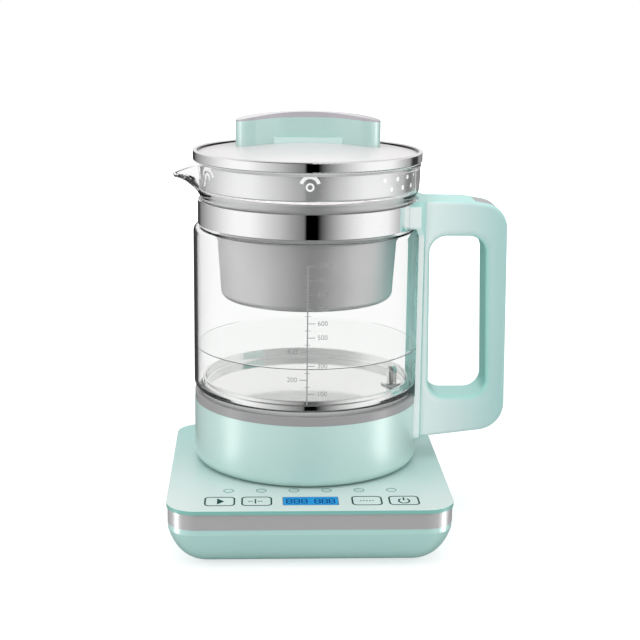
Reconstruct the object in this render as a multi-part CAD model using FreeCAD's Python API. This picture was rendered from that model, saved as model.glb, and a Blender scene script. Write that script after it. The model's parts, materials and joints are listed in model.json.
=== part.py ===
import FreeCAD, Part
import math
import os

# A glass kettle for baby formula on a square powered base. Millimetres, +Z up.
# The origin lies on the kettle's axis, on the surface that the base stands on.
# The control panel faces -Y, the handle points to +X and the spout to -X.

Vector = FreeCAD.Vector

# Clearances
body_gap = 0.3            # between pieces that move against each other
fit_gap = 0.05            # between pieces of one assembly, one inside the other
screw_gap = 0.2           # round a screw in its through hole

# Base casing
base_side = 156.0
base_centre_y = -20.0     # the kettle stands behind the middle of the base
base_corner = 16.0
foot_stand = 1.0          # the tray's height above the table
tray_height = 23.0
tray_rim = 3.0            # upright part of the tray's side
tray_fold = 25.0          # degrees, how far round its curve the side is at the fold under the rim
tray_tuck = 18.0          # how far the tray's round side draws in to its floor
tray_inset = 0.8
tray_wall = 2.4
band_height = 8.8
band_inset = 0.6
band_wall = 2.2
cover_thickness = 2.3
cover_edge_round = 0.4
foot_half = 48.0
foot_corner = 12.0
foot_width = 6.0
foot_sink = 0.8
base_boss_height = 17.0
base_boss_inset = 24.0    # from the casing's side to a screw
base_boss_offset = 26.0   # the front pair of screws, in front of the centre

# Control panel
panel_y = -83.2           # the row of touch keys and the display
key_places = (-49.2, -29.2, 30.6, 50.8)
lamp_row_y = -66.6
lamp_pitch = 18.0
lamp_count = 6
lamp_radius = 2.6
window_width = 30.4
window_depth = 12.8
window_thickness = 1.4
window_ledge = 1.5
display_margin = 2.0
display_thickness = 3.5
key_pad_radius = 4.0
board_half_width = 64.0
board_depth = 34.0
board_thickness = 1.6
board_boss_radius = 3.2
board_front = 12.0        # from the keys' middle to the board's front edge
board_hole_inset = 5.0
buzzer_radius = 6.0
buzzer_height = 7.0
buzzer_x = 34.0
buzzer_behind_keys = 10.0

# Power electronics
power_board_half_width = 40.0
power_board_depth = 44.0
power_board_y = -46.0
power_board_stand = 4.0
power_board_hole_inset = 4.0
parts_row = -9.0          # behind the power board's middle
relay_width = 19.0
relay_depth = 15.0
relay_height = 12.0
relay_x = -20.5
transformer_width = 24.0
transformer_depth = 18.0
transformer_height = 13.0
transformer_x = 8.0
capacitor_radius = 5.0
capacitor_height = 12.0
capacitor_x = 28.0
terminal_width = 24.0
terminal_depth = 8.0
terminal_height = 9.0
terminal_row = 16.0

# Coupler between base and kettle
coupler_radius = 17.0
coupler_rise = 7.0        # above the cover
coupler_depth = 15.0      # below the cover
coupler_flange_drop = 4.0  # from the cover's underside to the flange
coupler_flange_thickness = 2.0
coupler_flange_width = 10.0
coupler_post_radius = 3.0
well_radius = 4.0
slot_inner = 8.0
slot_outer = 11.5
slot_floor_rise = 3.0
coupler_reach = 11.0      # how far the kettle's pin goes down
coupler_tube_gap = 5.0    # from the coupler to the cover tube round it
coupler_top_gap = 0.7
coupler_upper_height = 5.0
coupler_shelf = 2.6       # from the kettle's coupler face to the flange that carries it
coupler_shelf_width = 3.4
coupler_shelf_thickness = 2.0

# Cord inlet
gland_height = 14.0
gland_radius = 5.0
gland_flange = 6.4
gland_bore = 3.4
gland_recess = 1.8
gland_nut_reach = 9.0     # from the recess to the nut's inner face
gland_nut_thickness = 2.4

# Kettle housing and floor
housing_step = 0.1        # the housing inside the glass's radius
housing_height = 36.0
housing_wall = 2.2
housing_round = 4.8
housing_lip = 15.0        # the turned-in floor of the housing
trim_height = 5.2
bottom_cover_thickness = 2.0
carrier_thickness = 2.4
plate_sheet = 0.8
plate_lift = 2.5          # the heating floor above the trim ring's top
plate_rim_height = 5.5
spreader_inset = 17.6
spreader_thickness = 2.5
element_inset = 11.0
element_tube = 3.8
element_sink = 0.3
element_lead = 11.0       # the element's ends, below its middle
cutout_radius = 7.0
cutout_height = 9.0
cutout_gap = 4.2          # from the element to a cut-out
probe_radius = 3.0
probe_height = 9.8
probe_flange = 6.2
probe_inset = 9.0         # from the heating plate's edge
probe_turn = -6.0         # degrees round from +X

# Glass jug
glass_radius = 65.4
glass_wall = 2.0
glass_rim_height = 133.2  # from the trim ring's top to the rim
spigot_step = 2.8         # the spigot, waist and neck inside the glass's radius
waist_step = 4.8
neck_step = 1.2
rim_bead = 0.5
spout_reach = 12.2        # out from the neck
spout_inset = 8.2         # its root, inside the neck
spout_half_width = 20.0
spout_depth = 20.6        # the root's underside below the rim
spout_tip_half_width = 2.6
spout_tip_drop = 8.2
spout_tip_thickness = 1.4
shoulder_drop = 0.9       # the jug's shoulder, below the collar
shoulder_round = 3.8
shoulder_start = 1.8      # inner slope to the neck, above the collar's top
shoulder_rise = 4.6

# Collar and handle
collar_sheet = 0.6
collar_liner = 1.5
collar_height = 13.5
collar_below_rim = 21.6
handle_half_width = 15.0
handle_outer_round = 2.6
handle_hole_round = 4.4
handle_hole_corner = 10.0
handle_top_corner = 14.0
handle_low_corner = 16.0
handle_reach = 50.6       # from the glass to the outside of the handle
handle_grip = 12.0
handle_spine = 4.4        # the upright beside the glass
handle_arm = 21.0
handle_foot_rise = 12.4   # the arm's underside above the kettle's underside
handle_slope = 7.0        # rise of the arm's underside towards the grip
shield_half_width = 21.0
shield_thickness = 2.8
saddle_half_width = 28.0
insert_half_width = 9.5
insert_thickness = 2.0
insert_end_reach = 20.0   # how far the inlay runs in over the top, from the outside
grip_hollow = 4.6
bracket_length = 22.0
bracket_half_width = 8.0
bracket_thickness = 2.5
bracket_drop = 6.0        # below the collar's top
bracket_screw_reach = 14.0  # out from the collar
bracket_screw_sink = 5.0    # the screw's seat in the arm

# Inner bowl
bowl_sheet = 1.2
bowl_inset = 6.6          # from the jug's waist to the bowl
bowl_taper = 2.6
bowl_corner = 3.6
bowl_depth = 60.8
bowl_step_drop = 20.0
bowl_seat = 4.3           # the bowl's flange above the collar's top
bowl_flange_thickness = 1.0

# Lid
lid_overhang = 1.2        # past the jug's neck
lid_ring_height = 5.6
lid_ring_wall = 2.2
lid_ring_lip = 2.7
seal_sheet = 0.5
seal_lip = 1.6
skirt_clearance = 0.9     # inside the jug's neck
skirt_sheet = 0.6
skirt_height = 16.2
skirt_curl = 2.2
dome_height = 6.3
dome_edge_drop = 1.8      # below the ring's top
lid_plate_thickness = 2.6
lid_handle_half_length = 41.0
lid_handle_half_width = 11.0
lid_handle_waist = 5.6
lid_handle_corner = 7.5
lid_handle_end_rise = 16.3    # above the lid ring's top
lid_handle_arch = 5.2
lid_pilot_rise = 5.0          # above the plinth
insert_crown = 3.0
insert_edge = 0.6
plinth_half_length = 20.5
plinth_half_width = 9.0
plinth_rise = 7.3             # above the lid ring's top
strainer_hole = 1.3
strainer_pitch = 10.0         # degrees
pour_window_height = 9.0
pour_window_half_width = 15.0

# Screws
pilot_end = 0.3           # a pilot hole past its screw's tip
small_screw_length = 5.0
retainer_screw_length = 8.0
housing_screw_length = 14.0
handle_screw_length = 14.0
base_screw_length = 18.0
screw_shank = 1.5
screw_head = 2.8
screw_head_height = 2.0
small_shank = 1.1
small_head = 2.1
small_head_height = 1.4

# Levels
tray_floor = foot_stand
tray_top = tray_floor + tray_height
band_top = tray_top + band_height
deck = band_top + cover_thickness
kettle_floor = deck + body_gap
housing_top = kettle_floor + housing_height
trim_top = housing_top + trim_height
rim_top = trim_top + glass_rim_height
collar_top = rim_top - collar_below_rim
collar_bottom = collar_top - collar_height
seal_bottom = rim_top + body_gap
seal_top = seal_bottom + seal_sheet
lid_bottom = seal_top + body_gap
lid_top = lid_bottom + lid_ring_height
plate_top = trim_top + plate_lift
plate_underside = plate_top - plate_sheet
carrier_bottom = housing_top - carrier_thickness
spreader_bottom = plate_underside - spreader_thickness

# Radii that follow from their neighbours
housing_radius = glass_radius - housing_step
glass_spigot = glass_radius - spigot_step
waist_radius = glass_radius - waist_step
neck_radius = glass_radius - neck_step
glass_inner = glass_radius - glass_wall
spigot_inner = glass_spigot - glass_wall
waist_inner = waist_radius - glass_wall
neck_inner = neck_radius - glass_wall
skirt_radius = neck_inner - skirt_clearance
lid_ring_radius = neck_radius + lid_overhang
bowl_top_radius = waist_inner - bowl_inset
bowl_low_radius = bowl_top_radius - bowl_taper
plate_radius = spigot_inner - 1.0
spreader_radius = plate_radius - spreader_inset
element_ring = spreader_radius - element_inset
probe_distance = plate_radius - probe_inset
collar_inner = waist_radius + collar_liner + 2 * fit_gap
collar_radius = collar_inner + collar_sheet
housing_inner = housing_radius - housing_wall
lip_inner = housing_radius - housing_lip
cover_tube_inner = coupler_radius + coupler_tube_gap
half = base_side / 2
back_y = base_centre_y + half
front_y = base_centre_y - half


# Shape helpers

def on_side(a, b):
    """A point of a side view: distance from the axis and height."""
    return Vector(a, 0, b)


def on_plan(a, b):
    """A point of a plan view."""
    return Vector(a, b, 0)


def outline(points, place):
    """A closed wire through corners (a, b) or (a, b, corner radius)."""
    trimmed = []
    count = len(points)
    for index, point in enumerate(points):
        here = place(point[0], point[1])
        if len(point) < 3 or point[2] <= 0:
            trimmed.append((here, here, here))
            continue
        before = points[index - 1]
        after = points[(index + 1) % count]
        towards = (place(before[0], before[1]) - here).normalize()
        away = (place(after[0], after[1]) - here).normalize()
        half_angle = towards.getAngle(away) / 2
        bisector = (towards + away).normalize()
        reach = point[2] / math.tan(half_angle)
        centre = here + bisector * (point[2] / math.sin(half_angle))
        trimmed.append((here + towards * reach, centre - bisector * point[2], here + away * reach))
    edges = []
    for index, (start, middle, end) in enumerate(trimmed):
        following = trimmed[(index + 1) % count][0]
        if (end - start).Length > 1e-6:
            edges.append(Part.Arc(start, middle, end).toShape())
        if (following - end).Length > 1e-6:
            edges.append(Part.LineSegment(end, following).toShape())
    return Part.Wire(edges)


def turned(points):
    """A solid of revolution about the kettle's axis from (radius, height) corners."""
    face = Part.Face(outline(points, on_side))
    return face.revolve(Vector(0, 0, 0), Vector(0, 0, 1), 360)


def slab(points, bottom, top):
    """A plan outline raised from bottom to top."""
    solid = Part.Face(outline(points, on_plan)).extrude(Vector(0, 0, top - bottom))
    solid.translate(Vector(0, 0, bottom))
    return solid


def side_prism(points, near, far):
    """A side-view outline stretched from y = near to y = far."""
    solid = Part.Face(outline(points, on_side)).extrude(Vector(0, far - near, 0))
    solid.translate(Vector(0, near, 0))
    return solid


def disc(radius, bottom, top, x=0.0, y=0.0):
    """An upright cylinder."""
    return Part.makeCylinder(radius, top - bottom, Vector(x, y, bottom))


def ring(outer, inner, bottom, top):
    """A flat ring about the kettle's axis."""
    return disc(outer, bottom, top).cut(disc(inner, bottom - 1, top + 1))


def block(x0, x1, y0, y1, z0, z1):
    """A box between two corners."""
    return Part.makeBox(x1 - x0, y1 - y0, z1 - z0, Vector(x0, y0, z0))


def brick(x, y, width, depth, bottom, height):
    """A box on its middle."""
    return slab(rectangle_points(x, y, width / 2, depth / 2), bottom, bottom + height)


def rod_along(axis, radius, start, length, x=0.0, y=0.0, z=0.0):
    """A cylinder along X or Y that starts at the given coordinate."""
    if axis == "x":
        return Part.makeCylinder(radius, length, Vector(start, y, z), Vector(1, 0, 0))
    return Part.makeCylinder(radius, length, Vector(x, start, z), Vector(0, 1, 0))


def joined(solids):
    """One solid from overlapping ones."""
    return solids[0].multiFuse(solids[1:]).removeSplitter()


def square_points(half_size, corner):
    """Corners of a rounded square on the base's centre."""
    low = base_centre_y - half_size
    high = base_centre_y + half_size
    return [(-half_size, low, corner), (half_size, low, corner),
            (half_size, high, corner), (-half_size, high, corner)]


def rectangle_points(x, y, half_x, half_y, corner=0.0):
    """Corners of a rectangle about a point."""
    return [(x - half_x, y - half_y, corner), (x + half_x, y - half_y, corner),
            (x + half_x, y + half_y, corner), (x - half_x, y + half_y, corner)]


def round_places(count, distance, first_angle=0.0):
    """Points spaced evenly on a circle about the axis."""
    places = []
    for index in range(count):
        angle = math.radians(first_angle + 360.0 * index / count)
        places.append((distance * math.cos(angle), distance * math.sin(angle)))
    return places


def screw(x, y, head_bottom, length, shank=screw_shank, head=screw_head, height=screw_head_height):
    """A screw that points up, its head at the bottom."""
    seat = head_bottom + height
    shaft = disc(shank, seat - 0.1, seat + length, x, y)
    return joined([disc(head, head_bottom, seat, x, y), shaft])


def save(name, solids):
    """Write one node; a list becomes a group of separate solids."""
    shape = solids
    if isinstance(solids, list):
        shape = Part.makeCompound(solids)
    shape.exportStep(os.path.join("parts", name + ".step"))
    print(name, len(shape.Solids), round(shape.Volume, 1), shape.isValid())


# Base casing

screw_x = half - base_boss_inset
screw_front = base_centre_y - base_boss_offset
screw_back = base_centre_y + screw_x
base_screw_places = [(x, y) for y in (screw_front, screw_back) for x in (-screw_x, screw_x)]
base_boss_radius = screw_head + 2.4
base_boss_top = tray_floor + base_boss_height
base_head_bottom = tray_floor + 5.0
base_screw_seat = base_head_bottom + screw_head_height


def bowl_of_tray(offset):
    """The tray's outer form, or its hollow when drawn in by the wall."""
    sections = []
    bowl_top = tray_top - tray_rim
    bowl_height = bowl_top - tray_floor - offset
    fold = math.radians(tray_fold)
    for step in range(7):
        angle = fold + (math.pi / 2 - fold) * step / 6
        draw = tray_tuck * (1 - math.cos(angle) / math.cos(fold))
        sink = bowl_height * (math.sin(angle) - math.sin(fold)) / (1 - math.sin(fold))
        inset = tray_inset + offset + draw
        corner = base_corner - tray_inset - offset - 0.5 * draw
        height = bowl_top - sink
        wire = outline(square_points(half - inset, corner), on_plan)
        wire.translate(Vector(0, 0, height))
        sections.append(wire)
    bowl = Part.makeLoft(sections, True, False)
    side = half - tray_inset - offset
    rim = slab(square_points(side, base_corner - tray_inset - offset), bowl_top, tray_top + offset)
    return bowl.fuse(rim)


def make_base_tray():
    tray = bowl_of_tray(0).cut(bowl_of_tray(tray_wall))
    gland_face = back_y - tray_inset - gland_recess
    pad = block(-gland_flange - 2, gland_flange + 2, gland_face - 4, back_y - tray_inset - 2,
                gland_height - gland_flange - 0.5, tray_top - tray_rim)
    solids = [tray, pad.common(bowl_of_tray(0))]
    for x, y in base_screw_places:
        solids.append(disc(base_boss_radius, tray_floor + 1, base_boss_top, x, y))
    for x, y in power_board_places():
        solids.append(disc(3.0, tray_floor + 1, power_board_bottom(), x, y))
    tray = joined(solids)
    cuts = []
    for x, y in base_screw_places:
        cuts.append(disc(screw_head + 0.4, tray_floor - 1, base_screw_seat, x, y))
        cuts.append(disc(screw_shank + screw_gap, tray_floor, base_boss_top + 1, x, y))
    pilot = power_board_bottom() + board_thickness - small_screw_length - pilot_end
    for x, y in power_board_places():
        cuts.append(disc(small_shank + fit_gap, pilot, power_board_bottom() + 1, x, y))
    recess = rod_along("y", gland_flange + 0.4, gland_face, gland_recess + 3, z=gland_height)
    cuts.append(recess)
    cuts.append(rod_along("y", gland_radius + fit_gap, gland_face - 20, 30, z=gland_height))
    cuts.append(rod_along("y", gland_flange + 0.4, gland_face - gland_nut_reach - 1,
                          gland_nut_thickness + 1 + fit_gap, z=gland_height))
    cuts.append(foot_outline(foot_half + fit_gap, foot_width + 2 * fit_gap, tray_floor + foot_sink))
    tray = tray.cut(Part.makeCompound(cuts))
    save("base_tray", tray)


def foot_outline(outer_half, width, top):
    """A rounded square ring from the table up."""
    outer = slab(square_points(outer_half, foot_corner), 0.0, top)
    inner = slab(square_points(outer_half - width, foot_corner - width), -1.0, top + 1)
    return outer.cut(inner)


def make_foot_ring():
    save("foot_ring", foot_outline(foot_half, foot_width, tray_floor + foot_sink - fit_gap))


def make_base_band():
    outer = slab(square_points(half - band_inset, base_corner - band_inset), tray_top, band_top)
    inset = band_inset + band_wall
    inner = slab(square_points(half - inset, base_corner - inset), tray_top - 1, band_top + 1)
    save("base_band", outer.cut(inner))


def make_base_cover():
    cover = slab(square_points(half, base_corner), band_top, deck)
    rim_edges = [edge for edge in cover.Edges if edge.BoundBox.ZMin > deck - 0.01]
    cover = cover.makeFillet(cover_edge_round, rim_edges)
    solids = [cover]
    for x, y in base_screw_places:
        solids.append(disc(screw_shank + 2.6, base_boss_top, band_top + 1, x, y))
    for x, y in board_places():
        solids.append(disc(board_boss_radius, board_top(), band_top + 1, x, y))
    for x, y in coupler_screw_places():
        solids.append(disc(coupler_post_radius, coupler_flange_top(), band_top + 1, x, y))
    cover = joined(solids)
    cuts = [disc(coupler_radius + fit_gap, tray_floor, deck + 1)]
    end = base_screw_seat + base_screw_length + pilot_end
    for x, y in base_screw_places:
        cuts.append(disc(screw_shank + fit_gap, base_boss_top - 1, end, x, y))
    end = board_top() - board_thickness + small_screw_length + pilot_end
    for x, y in board_places():
        cuts.append(disc(small_shank + fit_gap, board_top() - 1, end, x, y))
    end = coupler_flange_top() - coupler_flange_thickness + small_screw_length + pilot_end
    for x, y in coupler_screw_places():
        cuts.append(disc(small_shank + fit_gap, coupler_flange_top() - 1, end, x, y))
    for index in range(lamp_count):
        cuts.append(disc(lamp_radius + fit_gap, band_top - 1, deck + 1, lamp_x(index), lamp_row_y))
    half_x = window_width / 2
    half_y = window_depth / 2
    pocket = rectangle_points(0, panel_y, half_x + fit_gap, half_y + fit_gap, 0.8)
    cuts.append(slab(pocket, deck - window_thickness, deck + 1))
    through = rectangle_points(0, panel_y, half_x - window_ledge, half_y - window_ledge, 0.8)
    cuts.append(slab(through, band_top - 1, deck))
    save("base_cover", cover.cut(Part.makeCompound(cuts)))


def make_base_screws():
    screws = []
    for x, y in base_screw_places:
        screws.append(screw(x, y, base_head_bottom, base_screw_length))
    save("base_screws", screws)


# Control panel under the cover

def board_top():
    return band_top - display_thickness


def board_places():
    x = board_half_width - board_hole_inset
    low = panel_y - board_front + board_hole_inset
    high = panel_y - board_front + board_depth - board_hole_inset
    return [(-x, low), (x, low), (-x, high), (x, high)]


def lamp_x(index):
    return (index - (lamp_count - 1) / 2) * lamp_pitch + 0.4


def make_display():
    half_x = window_width / 2
    half_y = window_depth / 2
    glass = slab(rectangle_points(0, panel_y, half_x, half_y, 0.8), deck - window_thickness, deck)
    save("display_window", glass)
    body = rectangle_points(0, panel_y, half_x + display_margin, half_y - 0.4, 0.5)
    save("display_module", slab(body, board_top(), band_top))


def make_lamps():
    lenses = []
    lamps = []
    for index in range(lamp_count):
        x = lamp_x(index)
        lens = disc(lamp_radius, band_top, deck, x, lamp_row_y)
        stem = disc(lamp_radius - 0.8, board_top() + 1.2, band_top + 0.5, x, lamp_row_y)
        lenses.append(joined([lens, stem]))
        lamps.append(block(x - 1.6, x + 1.6, lamp_row_y - 1.4, lamp_row_y + 1.4,
                           board_top(), board_top() + 1.2))
    save("indicator_lenses", lenses)
    save("indicator_lamps", lamps)


def make_touch_pads():
    pads = []
    for x in key_places:
        pads.append(disc(key_pad_radius, board_top(), band_top, x, panel_y))
    save("touch_pads", pads)


def make_control_board():
    middle = panel_y - board_front + board_depth / 2
    bottom = board_top() - board_thickness
    board = slab(rectangle_points(0, middle, board_half_width, board_depth / 2, 3.0), bottom, board_top())
    screws = []
    cuts = []
    for x, y in board_places():
        cuts.append(disc(small_shank + screw_gap, 0, 50, x, y))
        screws.append(screw(x, y, bottom - small_head_height, small_screw_length,
                            small_shank, small_head, small_head_height))
    save("control_board", board.cut(Part.makeCompound(cuts)))
    save("control_board_screws", screws)
    save("buzzer", disc(buzzer_radius, bottom - buzzer_height, bottom, buzzer_x, panel_y + buzzer_behind_keys))


# Power electronics on the tray

def power_board_bottom():
    return tray_floor + tray_wall + power_board_stand


def power_board_places():
    x = power_board_half_width - power_board_hole_inset
    y = power_board_depth / 2 - power_board_hole_inset
    return [(-x, power_board_y - y), (x, power_board_y - y),
            (-x, power_board_y + y), (x, power_board_y + y)]


def make_power_board():
    bottom = power_board_bottom()
    top = bottom + board_thickness
    half_y = power_board_depth / 2
    board = slab(rectangle_points(0, power_board_y, power_board_half_width, half_y, 2.0), bottom, top)
    cuts = []
    screws = []
    for x, y in power_board_places():
        cuts.append(disc(small_shank + screw_gap, 0, 50, x, y))
        fastener = screw(x, y, 0, small_screw_length, small_shank, small_head, small_head_height)
        fastener = fastener.mirror(Vector(0, 0, 0), Vector(0, 0, 1))
        fastener.translate(Vector(0, 0, top + small_head_height))
        screws.append(fastener)
    save("power_board", board.cut(Part.makeCompound(cuts)))
    save("power_board_screws", screws)
    row = power_board_y + parts_row
    save("power_relay", brick(relay_x, row, relay_width, relay_depth, top, relay_height))
    save("power_transformer",
         brick(transformer_x, row, transformer_width, transformer_depth, top, transformer_height))
    save("power_capacitor", disc(capacitor_radius, top, top + capacitor_height, capacitor_x, row))
    row = power_board_y + terminal_row
    save("mains_terminal", brick(0, row, terminal_width, terminal_depth, top, terminal_height))


def make_cord_gland():
    face = back_y - tray_inset - gland_recess
    inner_end = face - gland_nut_reach
    solids = [rod_along("y", gland_radius, inner_end, gland_nut_reach + 0.1, z=gland_height),
              rod_along("y", gland_flange, face, gland_recess, z=gland_height),
              rod_along("y", gland_flange, inner_end, gland_nut_thickness, z=gland_height)]
    body = joined(solids)
    bore = rod_along("y", gland_bore, face - 20, 40, z=gland_height)
    save("cord_gland", body.cut(bore))


# Coupler

def coupler_flange_top():
    return band_top - coupler_flange_drop


def coupler_screw_places():
    return round_places(3, coupler_radius + 6.0, 30.0)


def make_coupler_lower():
    hub_top = deck + coupler_rise
    hub_bottom = deck - coupler_depth
    floor = hub_bottom + slot_floor_rise
    hub = turned([(0, hub_bottom), (coupler_radius, hub_bottom), (coupler_radius, hub_top, 1.5), (0, hub_top)])
    flange_bottom = coupler_flange_top() - coupler_flange_thickness
    flange = disc(coupler_radius + coupler_flange_width, flange_bottom, coupler_flange_top())
    hub = joined([hub, flange])
    cuts = [disc(well_radius, floor, hub_top + 1), ring(slot_outer, slot_inner, floor, hub_top + 1)]
    screws = []
    for x, y in coupler_screw_places():
        cuts.append(disc(small_shank + screw_gap, 0, band_top, x, y))
        screws.append(screw(x, y, flange_bottom - small_head_height, small_screw_length,
                            small_shank, small_head, small_head_height))
    save("coupler_lower", hub.cut(Part.makeCompound(cuts)))
    save("coupler_screws", screws)
    centre = disc(well_radius - 0.6, floor, floor + 2.0)
    outer = ring(slot_outer - 0.6, slot_inner + 0.6, floor, floor + 2.0)
    save("coupler_contacts", [centre, outer])
    save("coupler_seal", ring(coupler_radius + 3.0, coupler_radius + fit_gap, deck, deck + 1.4))


def coupler_face():
    return deck + coupler_rise + coupler_top_gap


def make_coupler_upper():
    face = coupler_face()
    radius = cover_tube_inner - 0.4
    shelf = face + coupler_shelf
    outer = radius + coupler_shelf_width
    body = turned([(0, face), (radius, face), (radius, shelf), (outer, shelf),
                   (outer, shelf + coupler_shelf_thickness), (radius, shelf + coupler_shelf_thickness),
                   (radius, face + coupler_upper_height), (0, face + coupler_upper_height)])
    skirt = ring(slot_outer - 0.8, slot_inner + 0.8, face - coupler_reach, face + 1)
    save("coupler_upper", joined([body, skirt]))
    tip = face - coupler_reach - 2.0
    pin = turned([(0, tip), (well_radius - 1.0, tip, 0.8), (well_radius - 1.0, face), (0, face)])
    save("coupler_pin", pin)


# Kettle floor and housing

def housing_screw_places():
    return round_places(3, lip_inner + 6.5, 90.0)


def housing_screw_seat():
    return kettle_floor + 1.2 + screw_head_height


def pillar_bottom():
    return housing_screw_seat() + 2.2


def make_housing():
    inner_floor = kettle_floor + housing_wall
    body = turned([(lip_inner, kettle_floor), (housing_radius, kettle_floor, housing_round),
                   (housing_radius, housing_top), (housing_inner, housing_top),
                   (housing_inner, inner_floor, housing_round - housing_wall), (lip_inner, inner_floor)])
    solids = [body]
    cuts = []
    for x, y in housing_screw_places():
        solids.append(disc(4.6, kettle_floor, pillar_bottom(), x, y))
        cuts.append(disc(screw_head + 0.3, kettle_floor - 1, housing_screw_seat(), x, y))
        cuts.append(disc(screw_shank + screw_gap, kettle_floor, pillar_bottom() + 1, x, y))
    for y in handle_screw_rows:
        hole = rod_along("x", screw_shank + screw_gap, 0, housing_radius + 1, y=y, z=handle_screw_height)
        cuts.append(hole)
    body = joined(solids).common(disc(housing_radius, 0, housing_top))
    save("housing", body.cut(Part.makeCompound(cuts)))


def make_bottom_cover():
    inner_floor = kettle_floor + housing_wall
    tube_top = coupler_face() + coupler_shelf - body_gap
    outer = lip_inner - fit_gap
    tube = cover_tube_inner + 2.0
    cover = turned([(cover_tube_inner, kettle_floor), (outer, kettle_floor), (outer, inner_floor),
                    (outer + 1.6, inner_floor), (outer + 1.6, inner_floor + 1.4),
                    (tube, inner_floor + 1.4), (tube, tube_top), (cover_tube_inner, tube_top)])
    cuts = []
    screws = []
    for x, y in retainer_places():
        cuts.append(disc(small_head + 0.3, kettle_floor - 1, retainer_screw_seat(), x, y))
        cuts.append(disc(small_shank + screw_gap, kettle_floor, tube_top, x, y))
        screws.append(screw(x, y, retainer_screw_seat() - small_head_height, retainer_screw_length,
                            small_shank, small_head, small_head_height))
    save("bottom_cover", cover.cut(Part.makeCompound(cuts)))
    save("retainer_screws", screws)


def retainer_screw_seat():
    return kettle_floor + 0.2 + small_head_height


def retainer_places():
    return round_places(3, cover_tube_inner + 8.0, 30.0)


def make_coupler_retainer():
    low = coupler_face() + coupler_shelf + coupler_shelf_thickness + body_gap
    end = retainer_screw_seat() + retainer_screw_length + pilot_end
    post_bottom = kettle_floor + housing_wall + 1.4
    solids = [ring(cover_tube_inner + 11.5, cover_tube_inner + 1.0, low, low + 2.0)]
    cuts = []
    for x, y in retainer_places():
        solids.append(disc(3.0, post_bottom, low + 0.5, x, y))
        cuts.append(disc(small_shank + fit_gap, post_bottom - 1, end, x, y))
    save("coupler_retainer", joined(solids).cut(Part.makeCompound(cuts)))


def make_glass_carrier():
    shelf = carrier_bottom + carrier_thickness
    post_inner = plate_radius - 3.4
    body = turned([(post_inner, carrier_bottom), (housing_inner - fit_gap, carrier_bottom),
                   (housing_inner - fit_gap, shelf), (plate_radius - fit_gap, shelf),
                   (plate_radius - fit_gap, plate_underside), (post_inner, plate_underside)])
    solids = [body]
    cuts = []
    screws = []
    seat = housing_screw_seat()
    end = seat + housing_screw_length + pilot_end
    for x, y in housing_screw_places():
        solids.append(disc(3.6, pillar_bottom(), carrier_bottom + 1, x, y))
        cuts.append(disc(screw_shank + fit_gap, pillar_bottom() - 1, end, x, y))
        screws.append(screw(x, y, seat - screw_head_height, housing_screw_length))
    save("glass_carrier", joined(solids).cut(Part.makeCompound(cuts)))
    save("housing_screws", screws)


def make_trim_ring():
    outer = housing_radius - 0.2
    inner = glass_spigot + fit_gap
    trim = turned([(inner, housing_top), (outer, housing_top), (outer, trim_top, 0.7), (inner, trim_top)])
    save("trim_ring", trim)


def glass_foot():
    return carrier_bottom + carrier_thickness + seal_sheet


def make_glass_seal():
    shelf = carrier_bottom + carrier_thickness
    inner = plate_radius + fit_gap
    seal = turned([(inner, shelf), (glass_spigot, shelf), (glass_spigot, glass_foot()),
                   (spigot_inner - fit_gap, glass_foot()), (spigot_inner - fit_gap, plate_top + 2.0),
                   (inner, plate_top + 2.0)])
    save("glass_seal", seal)


def make_heating_plate():
    rim = plate_top + plate_rim_height
    wall = plate_radius - plate_sheet
    dish = turned([(0, plate_underside), (plate_radius, plate_underside, 2.0), (plate_radius, rim - 0.8),
                   (spigot_inner - 0.3, rim - 0.4), (spigot_inner - 0.3, rim, 0.3), (wall, rim, 0.6),
                   (wall, plate_top, 1.4), (0, plate_top)])
    x, y = probe_place()
    save("heating_plate", dish.cut(disc(2.0 + fit_gap, 0, plate_top + 1, x, y)))
    save("heat_spreader", disc(spreader_radius, spreader_bottom, plate_underside))
    centre = spreader_bottom - element_tube + element_sink
    hoop = Part.makeTorus(element_ring, element_tube, Vector(0, 0, centre), Vector(0, 0, 1), 0, 360, 300)
    hoop.rotate(Vector(0, 0, 0), Vector(0, 0, 1), 120)
    solids = [hoop]
    for degrees in (122.0, 58.0):
        angle = math.radians(degrees)
        x = element_ring * math.cos(angle)
        y = element_ring * math.sin(angle)
        solids.append(disc(2.2, centre - element_lead, centre, x, y))
    element = joined(solids).common(disc(housing_radius, 0, spreader_bottom))
    save("heating_element", element)
    cutouts = []
    cutout_x = element_ring - element_tube - cutout_gap - cutout_radius
    for x in (-cutout_x, cutout_x):
        cutouts.append(disc(cutout_radius, spreader_bottom - cutout_height, spreader_bottom, x, 0))
    save("thermal_cutouts", cutouts)


def probe_place():
    angle = math.radians(probe_turn)
    return probe_distance * math.cos(angle), probe_distance * math.sin(angle)


def make_probe():
    x, y = probe_place()
    washer_top = plate_top + 0.6
    flange_top = washer_top + 0.8
    tip = flange_top + probe_height
    stem_bottom = plate_underside - 5.0
    profile = [(0, stem_bottom), (2.0, stem_bottom), (2.0, washer_top), (probe_flange, washer_top),
               (probe_flange, flange_top, 0.4), (probe_radius, flange_top),
               (probe_radius, tip, probe_radius - 0.4), (0, tip)]
    probe = turned(profile)
    probe.translate(Vector(x, y, 0))
    save("temperature_probe", probe)
    washer = ring(probe_flange, 2.0 + fit_gap, plate_top, washer_top)
    washer.translate(Vector(x, y, 0))
    save("probe_washer", washer)
    corners = [(4.2 * math.cos(math.radians(60 * k)), 4.2 * math.sin(math.radians(60 * k))) for k in range(6)]
    nut = slab(corners, plate_underside - 3.0, plate_underside).cut(disc(2.0 + fit_gap, 0, 100))
    nut.translate(Vector(x, y, 0))
    save("probe_nut", nut)


# Glass jug

spout_steps = 10


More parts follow.
